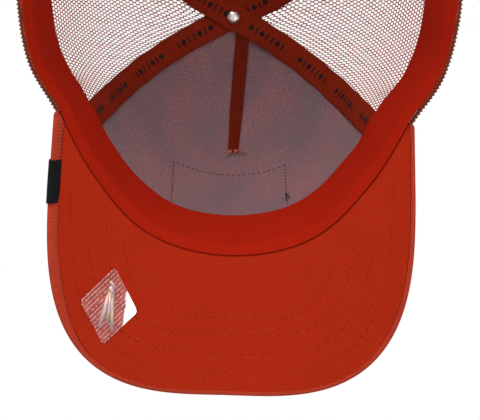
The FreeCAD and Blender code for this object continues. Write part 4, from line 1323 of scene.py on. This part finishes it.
STICKER_CENTRE = np.array([50.75, -123.2])
STICKER_HALF = 10.7
STICKER_SIDES = np.array([(5.13, 9.22), (6.85, -5.85)]) / STICKER_HALF   # in plan, per millimetre
STICKER_CORNER = 1.7


def sticker_spot(local, depth):
    """Point under the visor at a place on the sticker, depth below the cloth."""
    return visor_at(STICKER_CENTRE + local @ STICKER_SIDES, -np.asarray(depth, float))[0]


def make_sticker():
    a = np.linspace(-1.0, 1.0, 40)[:, None]
    b = np.sin(np.linspace(-0.5, 0.5, 44) * math.pi)[None, :] * STICKER_HALF
    past = np.maximum(np.abs(b) - (STICKER_HALF - STICKER_CORNER), 0.0)
    half = STICKER_HALF - STICKER_CORNER + np.sqrt(np.maximum(STICKER_CORNER ** 2 - past ** 2, 0.0))
    local = np.stack(np.broadcast_arrays(a * half, b), -1)
    lift = 0.10 + 0.05 * ripple(91, local[..., 0], local[..., 1], 9.0)
    lift = lift + 0.5 * smoothstep((np.abs(local[..., 0] + local[..., 1]) - 15.0) / 7.0) ** 2
    low = sticker_spot(local, lift + 0.14)
    high = sticker_spot(local, lift)
    piece = loft("foil_label", both_faces(high, low), both_uv(local), foil_face, slot="sticker")
    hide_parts("visor_sticker")
    make_emblem()


def make_emblem():
    """A surveyor's tripod, upright between the label's upper and lower corners."""
    def bar(first, last, half):
        """A flat bar between two spots, each (aside, up), in four corners."""
        first, last = np.array(first, float), np.array(last, float)
        across = unit(np.array([first[1] - last[1], last[0] - first[0]]))
        return [first - across * half[0], first + across * half[0],
                last + across * half[1], last - across * half[1]]

    turn = np.linspace(0.0, math.tau, 13)[:-1]
    knob = np.stack([1.7 * np.cos(turn), 6.4 + 1.7 * np.sin(turn)], -1)
    shapes = [knob, bar((-0.6, 5.4), (-3.6, -8.6), (1.1, 1.0)), bar((0.6, 5.4), (3.0, -8.6), (1.1, 1.0)),
              bar((0.0, 5.4), (0.1, -6.6), (0.8, 0.8)), bar((-1.5, 9.4), (1.9, 7.6), (0.6, 0.6))]
    points, faces, uv, base = [], [], [], 0
    for k, shape in enumerate(shapes):
        shape = np.array(shape)
        root = math.sqrt(0.5)
        local = np.stack([(shape[:, 1] - shape[:, 0]) * root, -(shape[:, 1] + shape[:, 0]) * root], -1)
        count = len(shape)
        index = np.arange(count) + base
        after = np.roll(index, -1)
        points += [sticker_spot(local, np.full(count, depth)) for depth in (0.2, 0.42 + 0.02 * k)]
        faces += [np.stack([index, after, after + count, index + count], -1), index[None, ::-1],
                  index[None] + count]
        uv += [local, local]
        base += 2 * count
    make_piece("foil_emblem", np.concatenate(points), faces, np.concatenate(uv), silver, slot="sticker")


# ---------------------------------------------------------------- patch
PATCH_FACE = FOAM_INNER + FOAM_THICK + LAYER_GAP + FRONT_CLOTH + LAYER_GAP


def make_patch():
    half = PATCH_HALF_WIDTH - 1.2
    side = np.linspace(-half, half, 60)[:, None]
    length = np.linspace(PATCH_LOW + 1.2, PATCH_HIGH - 1.2, 64)[None, :]
    swell = 0.15 * ripple(95, side, length, 20.0)
    high, _ = patch_point(side, length, PATCH_FACE + 1.1 + swell)
    low, _ = patch_point(side, length, np.full(swell.shape, PATCH_FACE - 0.3))
    uv = both_uv(np.stack(np.broadcast_arrays(side, length), -1))
    piece = loft("patch_cloth", both_faces(high, low), uv, patch_ground, slot="patch")
    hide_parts("front_patch")

    corner = 3.0
    wide, tall = PATCH_HALF_WIDTH - 1.3, 0.5 * (PATCH_HIGH - PATCH_LOW) - 1.3
    middle = 0.5 * (PATCH_HIGH + PATCH_LOW)
    path = []
    for k, (cx, cy) in enumerate(((1, 1), (-1, 1), (-1, -1), (1, -1))):
        turn = np.radians(np.linspace(90.0 * k, 90.0 * (k + 1), 9))
        path += [(cx * (wide - corner) + corner * math.cos(a), cy * (tall - corner) + corner * math.sin(a))
                 for a in turn]
    path = np.array(path + path[:1])
    run = run_length(path)
    at = np.linspace(0.0, run[-1], 420)[:-1]
    line = along(path, run, at)
    ahead = unit(np.roll(line, -1, 0) - np.roll(line, 1, 0))
    aside = np.stack([ahead[:, 1], -ahead[:, 0]], -1)
    section = np.radians(np.linspace(-10.0, 190.0, 11))
    rough = 1.0 + 0.05 * np.sin(at * 4.1)[:, None] * np.cos(at * 1.7)[:, None]
    spots = line[:, None] + aside[:, None] * (0.5 * BORDER_WIDTH * np.cos(section) * rough)[..., None]
    height = PATCH_FACE + 0.9 + 0.85 * np.sin(section) * rough
    height = np.where(np.sin(section) < 0, PATCH_FACE - 0.3, height)
    rings, _ = patch_point(spots[..., 0], spots[..., 1] + middle, height)
    uv = np.stack(np.broadcast_arrays(at[:, None], section * 1.3), -1)
    border = loft("patch_border_satin", rings, uv, satin_dark, closed=True, slot="patch_border")
    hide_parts("front_patch_border")

    def sewn(name, outline, centre, material, height=0.75):
        """Raised satin shape with a rounded edge, drawn inward from its outline."""
        outline, centre = np.array(outline, float), np.array(centre, float)
        steps = ((1.0, -0.35), (0.985, 0.3), (0.93, 0.8), (0.8, 1.0), (0.4, 1.0), (0.02, 1.0))
        layers, coordinates = [], []
        for share, rise in steps:
            spot = centre + (outline - centre) * share
            layers.append(patch_point(spot[:, 0], spot[:, 1], PATCH_FACE + 1.1 + height * rise)[0])
            coordinates.append(spot)
        count = len(outline)
        index = np.arange(count * len(steps)).reshape(len(steps), count)
        quads = side_faces(index[:-1], index[1:])
        caps = np.stack([index[0, ::-1], index[-1]])
        make_piece(name, np.concatenate(layers), [quads, caps], np.concatenate(coordinates), material,
                   slot="patch")

    turn = np.linspace(0.0, math.tau, 49)[:-1]
    sewn("patch_sun", np.stack([4.0 + 8.0 * np.cos(turn), 51.0 + 8.0 * np.sin(turn)], -1), (4.0, 51.0),
         satin_sun)
    x = np.linspace(-22.5, 22.5, 60)
    ridge = 36.5 + 6.0 * np.cos((x + 9.0) / 8.5) * np.exp(-((x + 6.0) / 21.0) ** 2) + 0.1 * x
    far_hill = np.concatenate([np.stack([x, ridge], -1), np.stack([x[::-1], 0 * x + 28.0], -1)])
    sewn("patch_far_hill", far_hill, (0.0, 30.0), satin_hill, 0.6)
    near = 27.0 + 3.4 * np.cos((x - 10.0) / 9.0)
    near_hill = np.concatenate([np.stack([x, near], -1), np.stack([x[::-1], 0 * x + 18.5], -1)])
    sewn("patch_near_hill", near_hill, (0.0, 22.0), satin_dark, 0.8)


# ---------------------------------------------------------------- button
def make_button():
    turn = np.linspace(0.0, math.tau, 121)[:-1][:, None]
    climb = np.radians(np.linspace(90.0, 0.0, 19))
    out = np.concatenate([np.cos(climb), [0.985, 0.93, 0.84], 0.88 * np.cos(climb[::-1])])
    up = np.concatenate([np.sin(climb), [-0.07, -0.09, -0.04], 0.86 * np.sin(climb[::-1])])
    out, up = np.maximum(out, 0.004)[None, :], up[None, :]
    low_down = smoothstep((0.75 - up) / 0.7)
    gathers = 1.0 + 0.02 * low_down * np.abs(np.sin(7.0 * turn + 0.4 * np.sin(3 * turn)))
    radius = BUTTON_RADIUS * out * gathers
    height = CROWN_HEIGHT + BUTTON_SEAT + BUTTON_HEIGHT * up
    rings = np.stack(np.broadcast_arrays(radius * np.sin(turn), APEX_Y - radius * np.cos(turn), height), -1)
    uv = rings[..., :2].copy()
    piece = loft("button_cloth", rings, uv, front_cloth, closed=True, slot="front_twill")
    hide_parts("button_cover")


# ---------------------------------------------------------------- rear opening
def rear_point(x, z, offset):
    """Point on the back of the crown by its sideways place and height."""
    x, z = np.broadcast_arrays(np.asarray(x, float), np.asarray(z, float))
    angle = 180.0 - np.degrees(np.arcsin(np.clip(x / 97.0, -0.9, 0.9)))
    for _ in range(7):
        low, high = np.zeros(x.shape), np.full(x.shape, 0.9)
        for _ in range(22):
            middle = 0.5 * (low + high)
            above = crown_point(angle, middle)[..., 2] > z
            low, high = np.where(above, low, middle), np.where(above, middle, high)
        point = crown_point(angle, low)
        angle = angle - np.degrees((x - point[..., 0]) / np.hypot(point[..., 0], point[..., 1]))
    return crown_at(angle, low, offset), crown_normal(angle, low)


def binding_line(turn, grow):
    return ((OPENING_HALF_WIDTH + grow) * np.cos(turn), (OPENING_HEIGHT + grow) * np.sin(turn))


def make_binding():
    turn = np.radians(np.linspace(1.2, 178.8, 200))[:, None]
    rough = 0.12 * ripple(101, np.degrees(turn), 0 * turn, 14.0)
    grow = np.linspace(BINDING_OUTSIDE, -BINDING_INSIDE + 0.5, 12)[None, :] + rough
    x, z = binding_line(turn, grow)
    z = np.maximum(z, 0.3)
    swell = 0.2 * np.sin(np.linspace(0.0, math.pi, 12))[None, :]
    outer, _ = rear_point(x, z, 1.5 + swell + 0.08 * ripple(102, np.degrees(turn), grow * 4, 9.0))
    inner, _ = rear_point(x, z, -0.55 - swell)
    uv = both_uv(np.stack(np.broadcast_arrays(np.degrees(turn) * 0.85, grow), -1))
    piece = loft("opening_binding_tape", both_faces(outer, inner, 0.9), uv, binding_cloth, slot="binding")
    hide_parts("rear_opening_binding")
    rows = []
    turn = np.radians(np.linspace(5.0, 175.0, 220))
    for grow in (BINDING_OUTSIDE - 1.0, 0.6):
        for offset, facing in ((1.6, 1), (-0.65, -1)):
            x, z = binding_line(turn, grow)
            point, normal = rear_point(x, np.maximum(z, 1.0), np.full(len(turn), offset))
            rows.append((point, normal * facing))
    stitches("opening_binding_stitches", rows, red_thread, length=2.2, gap=0.9, radius=0.18, lift=0.16)


# ---------------------------------------------------------------- rows of thread on the crown
TOPSTITCH = {"length": 2.5, "gap": 0.9, "radius": 0.2, "lift": 0.2}


def make_topstitching():
    rows = []
    s = np.linspace(0.06, 0.9, 260)
    for side in (1, -1):
        for away in (1.7, 6.2):
            angle = front_seam(s) - np.degrees(away / axis_distance(front_seam(s), s))
            fullness = smoothstep(away / np.maximum(axis_distance(angle, s) * 1.75 * FOAM_SIDE, 1.0))
            rows.append(crown_row(side * angle, s, foam_face(fullness) + FRONT_CLOTH + 0.3))
        for away in (-4.6, 4.6):
            angle = back_seam(s) + np.degrees(away / axis_distance(back_seam(s), s))
            rows.append(crown_row(side * angle, s, 0.85))
    stitches("seam_topstitches", rows, red_thread, **TOPSTITCH)
    rows = []
    s = np.linspace(0.5, 0.93, 150)
    for away in (-4.6, 4.6):
        angle = 180.0 + np.degrees(away / axis_distance(180.0, s))
        kept = length_at(angle, s) > OPENING_HEIGHT + 14.0
        rows.append(crown_row(angle[kept], s[kept], 0.85))
    for away in (-1.8, 1.8):
        length = np.linspace(88.0, float(length_at(0.0, top_station(0.0))) - 4.0, 70)
        at = station(0.0, length)
        angle = angle_of(np.degrees(away / axis_distance(0.0, at)))
        face = FOAM_INNER + FOAM_PRESSED + LAYER_GAP + FRONT_CLOTH
        full = (FOAM_THICK - FOAM_PRESSED) * smoothstep((length[-1] + 4.0 - length) / 18.0)
        rows.append(crown_row(angle, at, face + full + 0.1))
    stitches("top_topstitches", rows, red_thread, **TOPSTITCH)
    rows = []
    for side in (1, -1):
        angle = side * np.linspace(68.0, 146.0, 260)
        for length in (2.6, 7.2):
            rows.append(crown_row(angle, station(angle, length), 1.85))
    stitches("rim_topstitches", rows, red_thread, **TOPSTITCH)


# ---------------------------------------------------------------- closure
def repaint(node, material):
    mesh_slots = nodes[node].data.materials
    mesh_slots.clear()
    mesh_slots.append(material)


def make_kept_nodes():
    """The CAD pieces whose shapes stay, with their finishes."""
    for node, material in (("front_foam", foam_core), ("visor_board", board_plastic),
                           ("sweatband_interlining", stiffener), ("button_shell", steel),
                           ("button_rivet", nickel), ("holes_strap", strap_plastic),
                           ("pegs_strap", strap_plastic), ("left_strap_root", strap_plastic),
                           ("right_strap_root", strap_plastic), ("strap_stitching", red_thread)):
        repaint(node, material)


# ---------------------------------------------------------------- camera, floor and light
CAMERA_SPOT = (14.86, 31.74, -520.0)
CAMERA_PITCH = math.radians(12.32)
CAMERA_ROLL = math.radians(-1.50)
CAMERA_YAW = math.radians(-2.29)
LENS_MM = 94.2
SENSOR_MM = 36.0
FLOOR_Z = -1.6
FLOOR_HALF = 120.0


def make_camera():
    """The view from below and behind the visor, with the front of the cap at the bottom."""
    turn = (Matrix.Rotation(CAMERA_YAW, 3, "Z") @ Matrix.Rotation(CAMERA_ROLL, 3, "Y")
            @ Matrix.Rotation(CAMERA_PITCH, 3, "X"))
    cap = Matrix.Rotation(REST_TILT, 3, "X")
    axes = Matrix(((-1, 0, 0), (0, 1, 0), (0, 0, -1))).transposed()
    camera = bpy.data.objects.new("camera", bpy.data.cameras.new("camera"))
    bpy.context.scene.collection.objects.link(camera)
    world = (cap @ turn @ axes).to_4x4()
    world.translation = place(np.array(CAMERA_SPOT))
    camera.matrix_world = world
    camera.data.lens = LENS_MM
    camera.data.sensor_width = SENSOR_MM
    camera.data.clip_start = 0.01
    camera.data.clip_end = 50.0
    bpy.context.scene.camera = camera


def make_light(name, toward, distance, power, size):
    """A square soft light, shining at the middle of the cap from a direction."""
    lamp = bpy.data.lights.new(name, "AREA")
    lamp.energy = power
    lamp.size = size
    light = bpy.data.objects.new(name, lamp)
    bpy.context.scene.collection.objects.link(light)
    direction = Vector(toward).normalized()
    light.location = Vector((0.0, 0.0, 0.05)) + direction * distance
    light.rotation_euler = direction.to_track_quat("Z", "Y").to_euler()


def make_stage():
    paint = Paint("pale_floor", Roughness=0.9)
    where = paint.solid()
    paint.set("Base Color", paint.mix(paint.noise(where, 400.0), tone(240, 240, 240), tone(246, 246, 246)))
    corners = [(x * FLOOR_HALF, y * FLOOR_HALF, FLOOR_Z) for x, y in ((-1, -1), (1, -1), (1, 1), (-1, 1))]
    mesh = bpy.data.meshes.new("floor")
    mesh.from_pydata(corners, [], [(0, 1, 2, 3)])
    mesh.materials.append(paint.material)
    floor = bpy.data.objects.new("floor", mesh)
    bpy.context.scene.collection.objects.link(floor)
    world = bpy.data.worlds.new("studio")
    world.use_nodes = True
    world.node_tree.nodes["Background"].inputs["Color"].default_value = (1.0, 1.0, 1.0, 1.0)
    world.node_tree.nodes["Background"].inputs["Strength"].default_value = 1.0
    bpy.context.scene.world = world
    bpy.context.scene.view_settings.view_transform = "Standard"
    make_light("key", (0.25, 0.87, -0.55), 1.2, 14.0, 0.7)
    make_light("fill", (-0.6, -0.35, -0.7), 1.2, 4.5, 0.8)
    make_light("top", (-0.45, -0.5, 0.9), 1.4, 13.0, 0.9)


make_camera()
make_stage()
make_kept_nodes()
make_front()
make_lining_stitches()
make_nets()
make_net_folds()
make_tapes()
make_sweatband()
make_visor_top()
under_piece, under_flat, under_area = make_visor_under()
make_visor_stitches()
make_tag()
make_sticker()
make_patch()
make_button()
make_binding()
make_topstitching()
